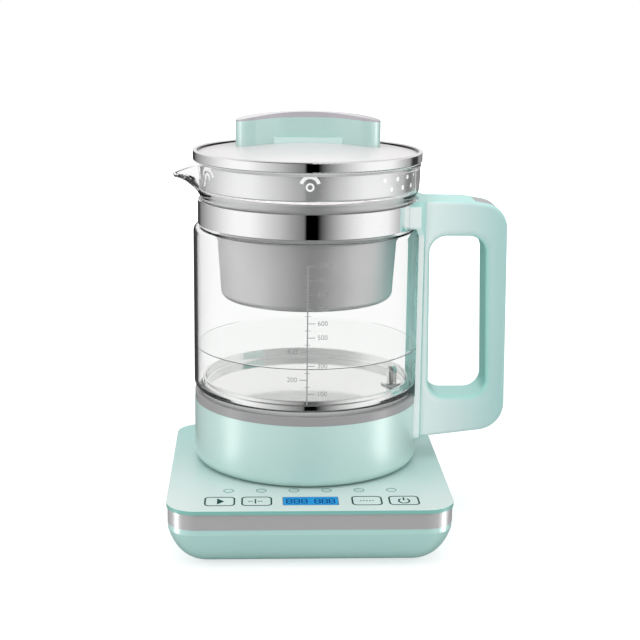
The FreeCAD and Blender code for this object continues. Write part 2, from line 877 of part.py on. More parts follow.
def spout_loft(wall):
    """The beak's outer form, or its channel when drawn in by the wall."""
    wires = []
    tip_depth = spout_tip_drop + spout_tip_thickness
    for step in range(spout_steps + 1):
        part = step / spout_steps
        reach = neck_radius - spout_inset + (spout_inset + spout_reach) * part - wall
        taper = (1 - part) ** 0.9
        fall = (1 + math.cos(math.pi * part)) / 2
        half_width = spout_tip_half_width + (spout_half_width - spout_tip_half_width) * taper
        width = max(half_width - wall, 0.9)
        low = rim_top - tip_depth - (spout_depth - tip_depth) * fall + wall
        top = rim_top + 8.0
        turn = low + 0.8 * width
        left = Vector(-reach, -0.94 * width, turn)
        right = Vector(-reach, 0.94 * width, turn)
        high_left = Vector(-reach, -width, top)
        high_right = Vector(-reach, width, top)
        wires.append(Part.Wire([Part.LineSegment(high_left, left).toShape(),
                                Part.Arc(left, Vector(-reach, 0, low), right).toShape(),
                                Part.LineSegment(right, high_right).toShape(),
                                Part.LineSegment(high_right, high_left).toShape()]))
    return Part.makeLoft(wires, True, True)


def make_glass_body():
    foot = glass_foot()
    spigot_top = trim_top + 0.8
    shoulder = collar_bottom - shoulder_drop
    outer = turned([(0, foot), (glass_spigot, foot), (glass_spigot, spigot_top, 2.0),
                    (glass_radius, spigot_top + 3.6, 4.0), (glass_radius, shoulder, shoulder_round),
                    (waist_radius, shoulder, 0.8), (waist_radius, collar_top + 0.8, 2.0),
                    (neck_radius - 0.5, collar_top + 5.8, 6.0), (neck_radius, rim_top - 2.6),
                    (neck_radius + rim_bead, rim_top - 1.6, 0.8), (neck_radius + rim_bead, rim_top, 0.9),
                    (0, rim_top)])
    inner = turned([(0, foot - 1), (spigot_inner, foot - 1), (spigot_inner, spigot_top + 1.2, 2.0),
                    (glass_inner, spigot_top + 4.8, 4.0),
                    (glass_inner, shoulder - glass_wall, shoulder_round - glass_wall),
                    (waist_inner, shoulder - glass_wall, 0.8 + glass_wall),
                    (waist_inner, collar_top + shoulder_start, 2.0),
                    (neck_inner, collar_top + shoulder_start + shoulder_rise, 3.0),
                    (neck_inner, rim_top + 1), (0, rim_top + 1)])
    start = neck_radius - 1.0
    tip = neck_radius + spout_reach + 2.0
    fall = [(-start, rim_top), (-tip, rim_top - spout_tip_drop), (-tip, rim_top + 20),
            (start, rim_top + 20), (start, rim_top)]
    above_rim = side_prism(fall, -80, 80)
    body = outer.fuse(spout_loft(0.0))
    body = body.cut(inner).cut(spout_loft(glass_wall)).cut(above_rim)
    save("glass_body", body)


# Collar and handle

handle_screw_rows = (-7.0, 7.0)
handle_screw_height = kettle_floor + 24.0
bracket_top = collar_top - bracket_drop
bracket_bottom = bracket_top - bracket_thickness
bracket_screw_x = collar_radius + bracket_screw_reach
handle_arm_underside = collar_top + 1.2 - handle_arm
bracket_screw_seat = handle_arm_underside + bracket_screw_sink


def handle_outer_points():
    """Side view of the handle's outer line."""
    root = collar_radius - 6.0
    top = collar_top + 1.2
    outside = glass_radius + handle_reach
    low = kettle_floor + handle_foot_rise
    return [(root, top), (outside - 24.0, top - 0.6, 40.0), (outside - 2.2, top - 4.4, handle_top_corner),
            (outside + 0.2, low + handle_slope, handle_low_corner), (root, low)]


def handle_hole_points():
    """Side view of the finger opening."""
    inside = glass_radius + handle_spine
    outside = glass_radius + handle_reach - handle_grip
    high = handle_arm_underside
    low = kettle_floor + handle_foot_rise + handle_arm + 4.4
    corner = handle_hole_corner
    return [(inside, high, corner), (outside - 2.0, high, corner),
            (outside + 1.0, low, corner), (inside + 1.4, low, corner)]


def kettle_envelope():
    """What the handle has to stay clear of."""
    return joined([disc(housing_radius + fit_gap, 0, trim_top),
                   disc(glass_radius + 0.5, trim_top - 1, collar_bottom),
                   disc(collar_radius + fit_gap, collar_bottom - 1, collar_top + 0.4),
                   turned([(0, collar_top), (collar_radius + fit_gap, collar_top),
                           (neck_radius + 1.6, collar_top + 5.0), (neck_radius + 1.6, rim_top), (0, rim_top)])])


def insert_form(clearance):
    """The inlay along the outside of the grip."""
    outer = Part.Face(outline(handle_outer_points(), on_side))
    inset = outer.makeOffset2D(-insert_thickness - clearance)
    width = insert_half_width + clearance
    strip = outer.cut(inset).extrude(Vector(0, 2 * width, 0))
    strip.translate(Vector(0, -width, 0))
    outside = glass_radius + handle_reach
    low = kettle_floor + handle_foot_rise + handle_low_corner + 3.0
    near = outside - insert_end_reach - clearance
    return strip.common(block(near, outside + 5, -width, width, low - clearance, rim_top))


def hollow_form():
    """The space behind the inlay."""
    outer = Part.Face(outline(handle_outer_points(), on_side))
    near = outer.makeOffset2D(-insert_thickness)
    far = outer.makeOffset2D(-insert_thickness - grip_hollow)
    width = insert_half_width - 2.5
    core = near.cut(far).extrude(Vector(0, 2 * width, 0))
    core.translate(Vector(0, -width, 0))
    outside = glass_radius + handle_reach
    low = kettle_floor + handle_foot_rise + handle_low_corner + 6.0
    return core.common(block(outside - insert_end_reach + 3.0, outside + 5, -width, width, low, rim_top))


def handle_edges(solid, points):
    """Edges of the two flat sides that lie on the given outline."""
    loop = outline(points, on_side)
    chosen = []
    for edge in solid.Edges:
        box = edge.BoundBox
        flat = box.YMax - box.YMin < 1e-6
        if not flat or abs(abs(box.YMin) - handle_half_width) > 1e-6:
            continue
        middle = edge.valueAt((edge.FirstParameter + edge.LastParameter) / 2)
        spot = Part.Vertex(Vector(middle.x, 0, middle.z))
        if loop.distToShape(spot)[0] < 1e-4 and box.XMax > collar_radius:
            chosen.append(edge)
    return chosen


def make_handle_shell():
    outer = side_prism(handle_outer_points(), -handle_half_width, handle_half_width)
    hole = side_prism(handle_hole_points(), -handle_half_width - 1, handle_half_width + 1)
    grip = outer.cut(hole)
    grip = grip.makeFillet(handle_hole_round, handle_edges(grip, handle_hole_points()))
    grip = grip.makeFillet(handle_outer_round, handle_edges(grip, handle_outer_points()))
    top = collar_top + 1.2
    low = kettle_floor + handle_foot_rise + 1.0
    shield = shield_half_width
    saddle = saddle_half_width
    face = [(-shield, low, 4.0), (shield, low, 4.0), (shield, collar_bottom - 5.0, 4.0),
            (saddle, collar_bottom + 1.0, 2.0), (saddle, collar_top - 1.0, 2.0), (shield, top, 2.0),
            (-shield, top, 2.0), (-saddle, collar_top - 1.0, 2.0), (-saddle, collar_bottom + 1.0, 2.0),
            (-shield, collar_bottom - 5.0, 4.0)]
    wire = outline(face, lambda a, b: Vector(0, a, b))
    wings = Part.Face(wire).extrude(Vector(100, 0, 0))
    wings = wings.common(disc(glass_radius + 0.5 + shield_thickness, 0, rim_top))
    body = grip.fuse(wings).cut(kettle_envelope())
    pocket = bracket_form(0.4, 0.3)
    cuts = [insert_form(fit_gap), hollow_form(), pocket]
    seat = bracket_screw_seat
    cuts.append(disc(screw_head + 0.3, handle_arm_underside - 6, seat, bracket_screw_x, 0))
    cuts.append(disc(screw_shank + screw_gap, seat - 5, bracket_bottom + 4.0, bracket_screw_x, 0))
    reach = handle_screw_length
    for y in handle_screw_rows:
        pilot = rod_along("x", screw_shank + fit_gap, housing_inner, reach, y=y, z=handle_screw_height)
        cuts.append(pilot)
    body = body.cut(Part.makeCompound(cuts))
    save("handle_shell", max(body.Solids, key=lambda solid: solid.Volume))
    save("handle_insert", insert_form(0.0))


def bracket_form(side_gap, face_gap):
    """The steel tongue that leaves the collar, or the pocket round it."""
    width = bracket_half_width + side_gap
    end = collar_radius + bracket_length + side_gap
    return block(collar_inner, end, -width, width, bracket_bottom - face_gap, bracket_top + face_gap)


def make_handle_fasteners():
    bracket = bracket_form(0, 0).cut(disc(collar_radius, 0, rim_top))
    save("handle_bracket", bracket.cut(disc(screw_shank + fit_gap, 0, rim_top, bracket_screw_x, 0)))
    seat = bracket_screw_seat
    save("bracket_screw", screw(bracket_screw_x, 0, seat - screw_head_height, bracket_top - seat + 1.5))
    screws = []
    for y in handle_screw_rows:
        wall = math.sqrt(housing_inner ** 2 - (abs(y) + screw_head) ** 2)
        start = wall - screw_head_height
        head = rod_along("x", screw_head, start, screw_head_height, y=y, z=handle_screw_height)
        shaft = rod_along("x", screw_shank, wall - 0.5, handle_screw_length, y=y, z=handle_screw_height)
        screws.append(joined([head, shaft]))
    save("handle_screws", screws)


def make_collar_band():
    save("collar_band", ring(collar_radius, collar_inner, collar_bottom, collar_top))
    outer = collar_inner - fit_gap
    save("collar_liner", ring(outer, outer - collar_liner, collar_bottom + 0.4, collar_top - 0.4))


# Inner bowl

def make_inner_bowl():
    flange_bottom = collar_top + bowl_seat
    slope = (neck_inner - waist_inner) / shoulder_rise
    flange = waist_inner + (bowl_seat - shoulder_start) * slope - 2 * body_gap
    flange_top = flange_bottom + bowl_flange_thickness
    floor = flange_bottom - bowl_depth
    step = flange_bottom - bowl_step_drop
    sheet = bowl_sheet
    throat = waist_inner - 0.8
    top = bowl_top_radius
    bowl = turned([(0, floor), (bowl_low_radius, floor, bowl_corner), (top, step - 2.0, 3.0),
                   (throat, step + 1.6, 2.6), (throat, flange_bottom, 0.6), (flange, flange_bottom),
                   (flange, flange_top, 0.4), (throat - sheet, flange_top, 0.8),
                   (throat - sheet, step + 1.6 + sheet, 2.0), (top - sheet, step - 2.0 + sheet, 3.0),
                   (bowl_low_radius - sheet, floor + sheet, bowl_corner - sheet), (0, floor + sheet)])
    save("inner_bowl", bowl)


# Lid

def make_lid_seal():
    outer = neck_radius
    lip_outer = neck_inner - body_gap
    inner = skirt_radius + body_gap
    seal = turned([(inner, seal_bottom - seal_lip), (lip_outer, seal_bottom - seal_lip),
                   (lip_outer, seal_bottom), (outer, seal_bottom), (outer, seal_top), (inner, seal_top)])
    save("lid_seal", seal)


lid_plate_radius = lid_ring_radius - lid_ring_wall - fit_gap
dome_sphere = (lid_plate_radius ** 2 + dome_height ** 2) / (2 * dome_height)


def dome_top(radius):
    """Height of the lid plate's upper face, part of a sphere."""
    crown = lid_top - dome_edge_drop + dome_height
    return crown - dome_sphere + math.sqrt(dome_sphere ** 2 - radius ** 2)


def dome_form(drop):
    """Everything under the lid plate's upper face, lowered by drop."""
    radius = lid_plate_radius
    start = Vector(0, 0, dome_top(0) - drop)
    middle = Vector(radius / 2, 0, dome_top(radius / 2) - drop)
    end = Vector(radius, 0, dome_top(radius) - drop)
    foot = Vector(radius, 0, lid_bottom)
    axis = Vector(0, 0, lid_bottom)
    edges = [Part.Arc(start, middle, end).toShape(), Part.LineSegment(end, foot).toShape(),
             Part.LineSegment(foot, axis).toShape(), Part.LineSegment(axis, start).toShape()]
    return Part.Face(Part.Wire(edges)).revolve(Vector(0, 0, 0), Vector(0, 0, 1), 360)


def make_lid_rim():
    inner = lid_ring_radius - lid_ring_wall
    ledge = inner - lid_ring_lip
    rim = turned([(ledge, lid_bottom), (lid_ring_radius, lid_bottom, 0.4), (lid_ring_radius, lid_top, 0.7),
                  (inner, lid_top, 0.5), (inner, lid_bottom + 1.0), (ledge, lid_bottom + 1.0)])
    save("lid_rim", rim)


def make_lid_plate():
    plate = dome_form(0.0).cut(dome_form(lid_plate_thickness))
    plate = plate.cut(disc(lid_ring_radius, 0, lid_bottom + 1.0))
    cuts = [disc(screw_shank + screw_gap, 0, 300, x, 0) for x in lid_screw_places]
    save("lid_plate", plate.cut(Part.makeCompound(cuts)))


lid_screw_places = (-13.0, 13.0)


def make_lid_skirt():
    low = lid_bottom - skirt_height
    sheet = skirt_sheet
    skirt = turned([(skirt_radius - skirt_curl, low), (skirt_radius, low, 1.2), (skirt_radius, lid_bottom),
                    (skirt_radius - sheet, lid_bottom), (skirt_radius - sheet, low + sheet, 0.7),
                    (skirt_radius - skirt_curl, low + sheet)])
    cuts = []
    upper_row = lid_bottom - 6.2
    for row, first, count in ((0, -49.0, 4), (1, -44.0, 3)):
        for index in range(count):
            angle = math.radians(first + strainer_pitch * index)
            way = Vector(math.cos(angle), math.sin(angle), 0)
            start = way * (skirt_radius - 4) + Vector(0, 0, upper_row - 5.2 * row)
            cuts.append(Part.makeCylinder(strainer_hole, 8, start, way))
    low_edge = lid_bottom - 2.0 - pour_window_height
    half_width = pour_window_half_width
    points = [(-half_width, low_edge, 2.0), (half_width, low_edge, 2.0),
              (half_width, low_edge + pour_window_height, 2.0),
              (-half_width, low_edge + pour_window_height, 2.0)]
    wire = outline(points, lambda a, b: Vector(-skirt_radius - 2, a, b))
    cuts.append(Part.Face(wire).extrude(Vector(20, 0, 0)))
    save("lid_skirt", skirt.cut(Part.makeCompound(cuts)))


def lid_handle_plan():
    """Plan of the lid's handle: two wide ends and a drawn-in middle for the fingers."""
    length = lid_handle_half_length
    width = lid_handle_half_width
    waist = lid_handle_waist
    corner = lid_handle_corner
    side = [(length, width, corner), (length - 11.0, width, 7.0), (length - 27.0, waist, 26.0),
            (27.0 - length, waist, 26.0), (11.0 - length, width, 7.0), (-length, width, corner)]
    other = [(-x, -y, radius) for x, y, radius in side]
    return slab(side + other, lid_bottom, lid_top + lid_handle_end_rise + lid_handle_arch + 5)


def below_arch(end_height, crown):
    """All that lies under an arch over the lid handle."""
    length = lid_handle_half_length + 1.0
    start = Vector(-length, 0, end_height)
    top = Vector(0, 0, end_height + crown)
    end = Vector(length, 0, end_height)
    right = Vector(length, 0, lid_bottom)
    left = Vector(-length, 0, lid_bottom)
    edges = [Part.Arc(start, top, end).toShape(), Part.LineSegment(end, right).toShape(),
             Part.LineSegment(right, left).toShape(), Part.LineSegment(left, start).toShape()]
    solid = Part.Face(Part.Wire(edges)).extrude(Vector(0, 60, 0))
    solid.translate(Vector(0, -30, 0))
    return solid


def make_lid_handle():
    end = lid_top + lid_handle_end_rise
    plan = lid_handle_plan()
    plinth = slab(rectangle_points(0, 0, plinth_half_length, plinth_half_width, 4.0),
                  lid_bottom, lid_top + plinth_rise)
    plinth_body = plinth.cut(dome_form(0.0))
    arch = below_arch(end - insert_edge, lid_handle_arch + insert_edge - insert_crown)
    handle = plan.common(arch).cut(dome_form(0.0)).cut(plinth)
    cap = plan.common(below_arch(end, lid_handle_arch)).cut(arch)
    pilot_top = lid_top + plinth_rise + lid_pilot_rise
    pilots = [disc(screw_shank + fit_gap, 0, pilot_top, x, 0) for x in lid_screw_places]
    pilots = Part.makeCompound(pilots)
    save("lid_handle", handle.cut(pilots))
    save("lid_handle_insert", cap)
    save("lid_handle_base", plinth_body.cut(pilots))
    screws = []
    for x in lid_screw_places:
        seat = dome_top(abs(x) + screw_head) - lid_plate_thickness
        screws.append(screw(x, 0, seat - screw_head_height, pilot_top - 1.0 - seat))
    save("lid_screws", screws)


def main():
    os.makedirs("parts", exist_ok=True)
    make_base_tray()
    make_foot_ring()
    make_base_band()
    make_base_cover()
    make_base_screws()
    make_display()
    make_lamps()
    make_touch_pads()
    make_control_board()
    make_power_board()
    make_cord_gland()
    make_coupler_lower()
    make_coupler_upper()
    make_housing()
    make_bottom_cover()
    make_coupler_retainer()
    make_glass_carrier()
    make_trim_ring()
    make_glass_seal()
    make_heating_plate()
    make_probe()
    make_glass_body()
    make_collar_band()
    make_handle_shell()
    make_handle_fasteners()
    make_inner_bowl()
    make_lid_seal()
    make_lid_rim()
    make_lid_plate()
    make_lid_skirt()
    make_lid_handle()


main()
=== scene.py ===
import json
import math
import bpy
import bmesh
from mathutils import Matrix, Vector


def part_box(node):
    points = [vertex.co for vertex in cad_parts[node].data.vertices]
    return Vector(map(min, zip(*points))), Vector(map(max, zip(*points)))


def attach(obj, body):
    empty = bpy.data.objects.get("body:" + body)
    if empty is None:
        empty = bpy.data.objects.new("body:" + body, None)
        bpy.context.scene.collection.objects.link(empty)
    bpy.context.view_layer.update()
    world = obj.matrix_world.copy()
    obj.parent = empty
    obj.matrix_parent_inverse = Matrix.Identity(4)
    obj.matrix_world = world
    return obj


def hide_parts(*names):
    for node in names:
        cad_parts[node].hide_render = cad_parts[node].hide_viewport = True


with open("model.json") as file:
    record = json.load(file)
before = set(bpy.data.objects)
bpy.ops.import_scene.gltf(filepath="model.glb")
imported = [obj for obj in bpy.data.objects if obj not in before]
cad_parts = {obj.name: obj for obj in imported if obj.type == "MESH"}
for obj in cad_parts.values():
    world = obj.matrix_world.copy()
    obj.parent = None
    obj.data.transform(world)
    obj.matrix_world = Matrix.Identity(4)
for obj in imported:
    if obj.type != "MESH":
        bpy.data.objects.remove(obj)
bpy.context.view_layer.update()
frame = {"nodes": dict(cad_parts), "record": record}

# A glass formula kettle on a square powered base. Shapes are in millimetres and
# turned to metres when a mesh is made. Lamps and surface patterns are in metres.
MM = 0.001

nodes = frame["nodes"]


def box_mm(node):
    """Lowest and highest corners of a node, in millimetres."""
    low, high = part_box(node)
    return low / MM, high / MM


# Levels, radii and places that the CAD gives
deck = box_mm("base_cover")[1].z
trim_top = box_mm("trim_ring")[1].z
glass_foot = box_mm("glass_body")[0].z
rim_top = box_mm("glass_body")[1].z
glass_radius = box_mm("glass_body")[1].y
beak_end = -box_mm("glass_body")[0].x
seal_top = box_mm("glass_seal")[1].z
dish_radius = box_mm("heating_plate")[1].x
collar_bottom = box_mm("collar_band")[0].z
collar_top = box_mm("collar_band")[1].z
skirt_radius = box_mm("lid_skirt")[1].y
lid_ring_bottom = box_mm("lid_rim")[0].z
lid_ring_top = box_mm("lid_rim")[1].z
lid_ring_radius = box_mm("lid_rim")[1].y
window_low, window_high = box_mm("display_window")
panel_y = (window_low.y + window_high.y) / 2

# How finely round shapes are divided, and which edges stay sharp
ARC_STEPS = 7
RING_STEPS = 240
OUTLINE_STEPS = 24
CIRCLE_STEPS = 40
DOT_STEPS = 16
SMOOTH_ANGLE = 35.0
PRINT_SMOOTH_ANGLE = 20.0
WELD = 1e-7

# Glass jug: its wall and the lines of its foot, shoulder, waist, neck and rim
GLASS_WALL = 2.0
SPIGOT_STEP = 2.8
SPIGOT_RISE = 0.8
SPIGOT_ROUND = 2.0
FOOT_RISE = 3.6
FOOT_ROUND = 4.0
FOOT_WALL = 1.2
SHOULDER_DROP = 0.9
SHOULDER_ROUND = 3.8
WAIST_STEP = 4.8
WAIST_ROUND = 0.8
WAIST_RISE = 0.8
WAIST_TOP_ROUND = 2.0
INNER_WAIST_RISE = 1.8
FLARE_STEP = 0.5
FLARE_RISE = 5.8
FLARE_ROUND = 6.0
INNER_FLARE_RISE = 6.4
INNER_FLARE_ROUND = 3.0
NECK_STEP = 1.2
NECK_RISE = 12.0
RIM_BEAD = 0.5
BEAD_DEPTH = 1.6
BEAD_RUN_IN = 1.0
BEAD_ROUND = 0.8
RIM_ROUND = 0.9
LONGEST_RUN = 1.2

# Beak of the jug, with its angles and steps in degrees
BEAK_HALF_ANGLE = 17.0
BEAK_TIP_ROUND = 1.2
BEAK_TAPER = 1.25
BEAK_DEPTH = 20.6
BEAK_TIP_DEPTH = 9.6
BEAK_INSET = 8.2
BEAK_EASE = 0.1
BEAK_DROP = 7.1
BEAK_START = 1.0
BEAK_DROP_START = 6.0
BEAK_WALL_SHARE = 0.9
BEAK_STEP = 0.5
BEAK_MARGIN = 4.0
JUG_STEP = 1.5

# Hem of the steel floor
SEAL_FIT = 0.03
SEAL_GAP = 0.05
DISH_LIP = 0.67
HEM_SHEET = 0.1
HEM_DROP = 2.4
HEM_RISE = 0.8
HEM_TOP_ROUND = 0.3
HEM_BULGE = 0.45
HEM_BULGE_RISE = 0.9
HEM_BULGE_ROUND = 0.4

# Water
WATER_RISE = 26.6
WATER_BITE = 0.15
WATER_SHEET = 0.3
MENISCUS = 0.5
MENISCUS_WIDTH = 3.2
MENISCUS_CURVE = 2.2
MENISCUS_STEPS = 8

# Every print: how it stands on its surface, and the limit of its mitred corners
PRINT_LIFT = 0.06
PRINT_BITE = 0.02
SURFACE_GAP = 0.02
MITRE_LIMIT = 0.5

# Keys on the panel
KEY_PLACES = (-49.2, -29.2, 30.6, 50.8)
KEY_WIDTH = 15.8
KEY_DEPTH = 13.0
KEY_CORNER = 2.6
KEY_LINE = 0.9

# Icons on the keys
PLAY_BACK = 1.4
PLAY_FRONT = 2.4
PLAY_HALF_HEIGHT = 4.5
BAR_OFFSET = 0.7
BAR_HALF_HEIGHT = 3.3
BAR_LINE = 0.8
BAR_DOTS = (-4.1, -2.7, 1.3, 2.7)
BAR_DOT_RADIUS = 0.55
DOT_COUNT = 5
DOT_PITCH = 1.7
DOT_RADIUS = 0.5
POWER_DROP = 0.5
POWER_RADIUS = 3.6
POWER_NARROWING = 0.8
POWER_ARC = (125, 415)
POWER_STEM = (0.3, 4.6)
POWER_LINE = 0.9

# Rings round the row of lamps
LAMP_ROW_X = 0.4
LAMP_ROW_Y = -66.6
LAMP_PITCH = 18.0
LAMP_COUNT = 6
LAMP_RADIUS = 2.6
LAMP_RING_GAP = 0.15
LAMP_RING_LINE = 0.3

# Display
FACE_INSET = 0.8
FACE_CORNER = 0.6
FACE_LIFT = 0.03
DIGIT_PLACES = (-11.6, -7.5, -3.4, 3.7, 7.6, 11.5)
DIGIT_DROP = 0.3
DIGIT_WIDTH = 2.7
DIGIT_HEIGHT = 6.6
DIGIT_LINE = 0.7
DIGIT_GAP = 0.3
DIGIT_LIFT = 0.07

# Scale on the glass
SCALE_TURN = -1.6
SCALE_START = 13.4
SCALE_TAIL = 6.0
SCALE_SPACING = 7.9
SCALE_COUNT = 10
SCALE_UNIT = 100
SCALE_LINE = 0.7
TICK_LENGTH = 4.2
TICK_LINE = 0.4
HALF_TICK_REACH = 1.6
HALF_TICK_LINE = 0.3
NUMBER_OFFSET = 5.4
NUMBER_HEIGHT = 3.8
NUMBERS_ON_THE_LEFT = (1, 3)
LETTER_RESOLUTION = 4
LETTER_DEPTH = 0.5

# Marks and gauze on the lid's skirt
MARK_DROP = 6.0
FRONT_MARK_TURN = -0.9
LEFT_MARK_TURN = -65.5
ARCH_RADIUS = 4.7
ARCH_SPAN = (12, 168)
ARCH_LINE = 1.9
EYE_DROP = 0.9
EYE_RADIUS = 1.8
EYE_LINE = 1.0
BROW_RADIUS = 4.4
BROW_WIDENING = 1.5
BROW_LINE = 1.7
ARROW_POINTS = ((-2.6, -1.8), (-2.2, 0.6), (0, 1.6), (2.2, 0.6), (2.6, -1.8))
ARROW_LINE = 1.5
GAUZE_TURN = 56.0
GAUZE_HALF_ANGLE = 18.0
GAUZE_INSET = 0.9
GAUZE_DROP = 8.8
GAUZE_HEIGHT = 9.6
GAUZE_STEPS = 12

# Where the bowl's rim and the lid ring's wall and top edge start to look different: the rim carries a
# painted highlight, the wall painted shade and the edge a painted shade line
BOWL_RIM_DEPTH = 2.0
RING_WALL = 2.1
RING_EDGE_DEPTH = 0.6

# Surface patterns: features per metre, depths in metres, and shares
DRIFT_SCALE = 22.0
GLOSS_SCALE = 160.0
GLOSS_LESS = 0.04
GLOSS_MORE = 0.05
GRAIN_SCALE = 2600.0
GRAIN_DEPTH = 0.00004
TURNED_SCALE = 2600.0
TURNED_DEPTH = 0.00003
TURNED_STRETCH = 0.006
SMUDGE_SCALE = 45.0
SMUDGE_SPAN = (0.8, 1.25)
WAVE_SCALE = 30.0
WAVE_DEPTH = 0.0002
WAVE_STRENGTH = 0.04
GLOW_SCALE = 120.0
FLOOR_SCALE = 40.0
PLASTIC_DRIFT = 0.03
STEEL_DRIFT = 0.04
CLEAR_DRIFT = 0.015
GLOW_DRIFT = 0.14
INK_ROUGHNESS = 0.6
INK_SPECULAR = 0.1
GLOW_ROUGHNESS = 0.5
GLOW_SPECULAR = 0.2
# How far a surface turns away before its painted shade colour takes over
SHADE_FACING_SPAN = (0.3, 0.9)
# Near black painted on the lid ring's inner wall as painted shade
PAINTED_WALL_SHADE = (0.02, 0.02, 0.02)
WHITE = (1.0, 1.0, 1.0)

# Floor: distances in metres, and how white it glows
FLOOR_REACH = 4.0
FLOOR_ROUGHNESS = 0.9
FLOOR_DARK = (0.54, 0.54, 0.54)
FLOOR_LIGHT = (0.56, 0.56, 0.56)
FLOOR_FADE = (0.2, 1.0)
FLOOR_NEAR_GLOW = 0.52
FLOOR_UNSEEN_GLOW = 0.3

# Studio: greys of its walls by direction, in degrees from the front towards +X
STUDIO_WALLS = ((-180, 0.04), (-158, 0.05), (-148, 0.25), (-118, 0.6), (-98, 0.86), (-82, 1.0),
                (-64, 1.0), (-54, 0.88), (-42, 0.7), (-30, 0.55), (-18, 0.36), (-5, 0.2), (-3, 0.0),
                (9, 0.0), (13, 0.1), (22, 0.3), (34, 0.56), (47, 0.8), (60, 0.97), (75, 1.0),
                (90, 0.95), (105, 0.62), (120, 0.35), (126, 0.04), (138, 0.04), (146, 0.3),
                (165, 0.25), (180, 0.04))
BELOW_SPAN = (-0.75, -0.35)
BELOW_SHARE = 0.3
OVERHEAD_SPAN = (-0.6, -0.05)
OVERHEAD_FRONT = 0.05
CEILING_SPAN = (0.0, 0.08)
MATT_GREY = (0.72, 0.72, 0.72)

# Lamps: place and size in metres, and power in watts
LAMP_AIM = (0.0, 0.0, 0.11)
TOP_LAMP = ((0.0, -0.15, 1.5), (1.2, 1.2), 9.6)
LEFT_LAMP = ((-1.1, -0.9, 0.7), (0.9, 1.2), 7.8)
RIGHT_LAMP = ((1.2, -0.8, 0.6), (0.9, 1.2), 6.6)
GRIP_LAMP = ((-0.25, -1.2, 0.25), (0.8, 0.8), 6.5)
GRIP_AIM = (0.12, 0.0, 0.12)
SPINE_LAMP = ((0.0, -0.02, 0.13), (0.03, 0.14), 0.045)
SPINE_AIM = (0.066, 0.01, 0.13)
NECK_LAMP_POWER = 0.2
NECK_LAMP_RADIUS = 0.02

# Strip lamps: level and size in metres, and the name, x, y and power of each
STRIP_LEVEL = 0.1
STRIP_SIZE = (0.35, 1.4)
UPPER_STRIPS = (("strip_left", -1.18, -0.2, 4.3), ("strip_right", 1.18, -0.2, 5.4))
BASE_STRIPS = (("strip_base_left", -1.18, -0.2, 22.0), ("strip_base_right", 1.18, -0.2, 20.0))
BOWL_STRIPS = (("strip_bowl_left", -1.0, 0.65, 11.0), ("strip_bowl_right", 1.0, 0.65, 11.0))

# Camera, with its angles in radians and its clip distances in metres
CAMERA_PLACE = (-31.4, -815.6, deck + 272.6)
CAMERA_PITCH = 0.2302
CAMERA_YAW = -0.0483
CAMERA_ROLL = 0.011
CAMERA_LENS = 80.516
CAMERA_SENSOR = 36.0
CAMERA_CLIP = (0.01, 50.0)


# Mesh helpers

def finish_mesh(name, vertices, faces, smooth_angle=SMOOTH_ANGLE):
    """An object from millimetre vertices, closed and with its normals outward."""
    mesh = bpy.data.meshes.new(name)
    mesh.from_pydata([Vector(v) * MM for v in vertices], [], faces)
    shape = bmesh.new()
    shape.from_mesh(mesh)
    bmesh.ops.remove_doubles(shape, verts=shape.verts, dist=WELD)
    bmesh.ops.recalc_face_normals(shape, faces=shape.faces)
    shape.to_mesh(mesh)
    shape.free()
    mesh.shade_smooth()
    mesh.set_sharp_from_angle(angle=math.radians(smooth_angle))
    thing = bpy.data.objects.new(name, mesh)
    bpy.context.scene.collection.objects.link(thing)
    return thing


def rounded(points):
    """A closed line through corners (a, b) or (a, b, corner radius), with its corners as arcs."""
    line = []
    count = len(points)
    for index, point in enumerate(points):
        here = Vector(point[:2])
        if len(point) < 3 or point[2] <= 0:
            line.append(here)
            continue
        towards = (Vector(points[index - 1][:2]) - here).normalized()
        away = (Vector(points[(index + 1) % count][:2]) - here).normalized()
        half_angle = towards.angle(away) / 2
        bisector = (towards + away).normalized()
        reach = point[2] / math.tan(half_angle)
        centre = here + bisector * (point[2] / math.sin(half_angle))
        start = here + towards * reach - centre
        end = here + away * reach - centre
        sweep = start.angle(end)
        for step in range(ARC_STEPS + 1):
            part = step / ARC_STEPS
            blend = math.sin((1 - part) * sweep) * start + math.sin(part * sweep) * end
            line.append(centre + blend / math.sin(sweep))
    return line


def divided(line, longest):
    """The same closed line with its long runs cut into shorter ones."""
    points = []
    for index, point in enumerate(line):
        after = line[(index + 1) % len(line)]
        count = max(1, math.ceil((after - point).length / longest))
        for step in range(count):
            points.append(point.lerp(after, step / count))
    return points


def lathe(name, profile, bend=None, angles=None):
    """A ring-shaped solid from a closed profile of (radius, height)."""
    if angles is None:
        angles = [360.0 * k / RING_STEPS for k in range(RING_STEPS)]
    vertices = []
    for angle in angles:
        for radius, height in profile:
            if bend:
                radius, height = bend(angle, radius, height)
            turn = math.radians(angle)
            vertices.append((radius * math.cos(turn), radius * math.sin(turn), height))
    rows = len(profile)
    faces = []
    for ring in range(len(angles)):
        following = (ring + 1) % len(angles)
        for row in range(rows):
            after = (row + 1) % rows
            faces.append((ring * rows + row, following * rows + row,
                          following * rows + after, ring * rows + after))
    return finish_mesh(name, vertices, faces)


def turned_disc(name, profile):
    """A solid of revolution whose profile starts and ends on the axis."""
    vertices = [(0, 0, profile[0][1])]
    rows = len(profile) - 2
    for ring in range(RING_STEPS):
        turn = 2 * math.pi * ring / RING_STEPS
        for radius, height in profile[1:-1]:
            vertices.append((radius * math.cos(turn), radius * math.sin(turn), height))
    vertices.append((0, 0, profile[-1][1]))
    last = len(vertices) - 1
    faces = []
    for ring in range(RING_STEPS):
        here = 1 + ring * rows
        there = 1 + ((ring + 1) % RING_STEPS) * rows
        faces.append((0, here, there))
        for row in range(rows - 1):
            faces.append((here + row, there + row, there + row + 1, here + row + 1))
        faces.append((here + rows - 1, last, there + rows - 1))
    return finish_mesh(name, vertices, faces)


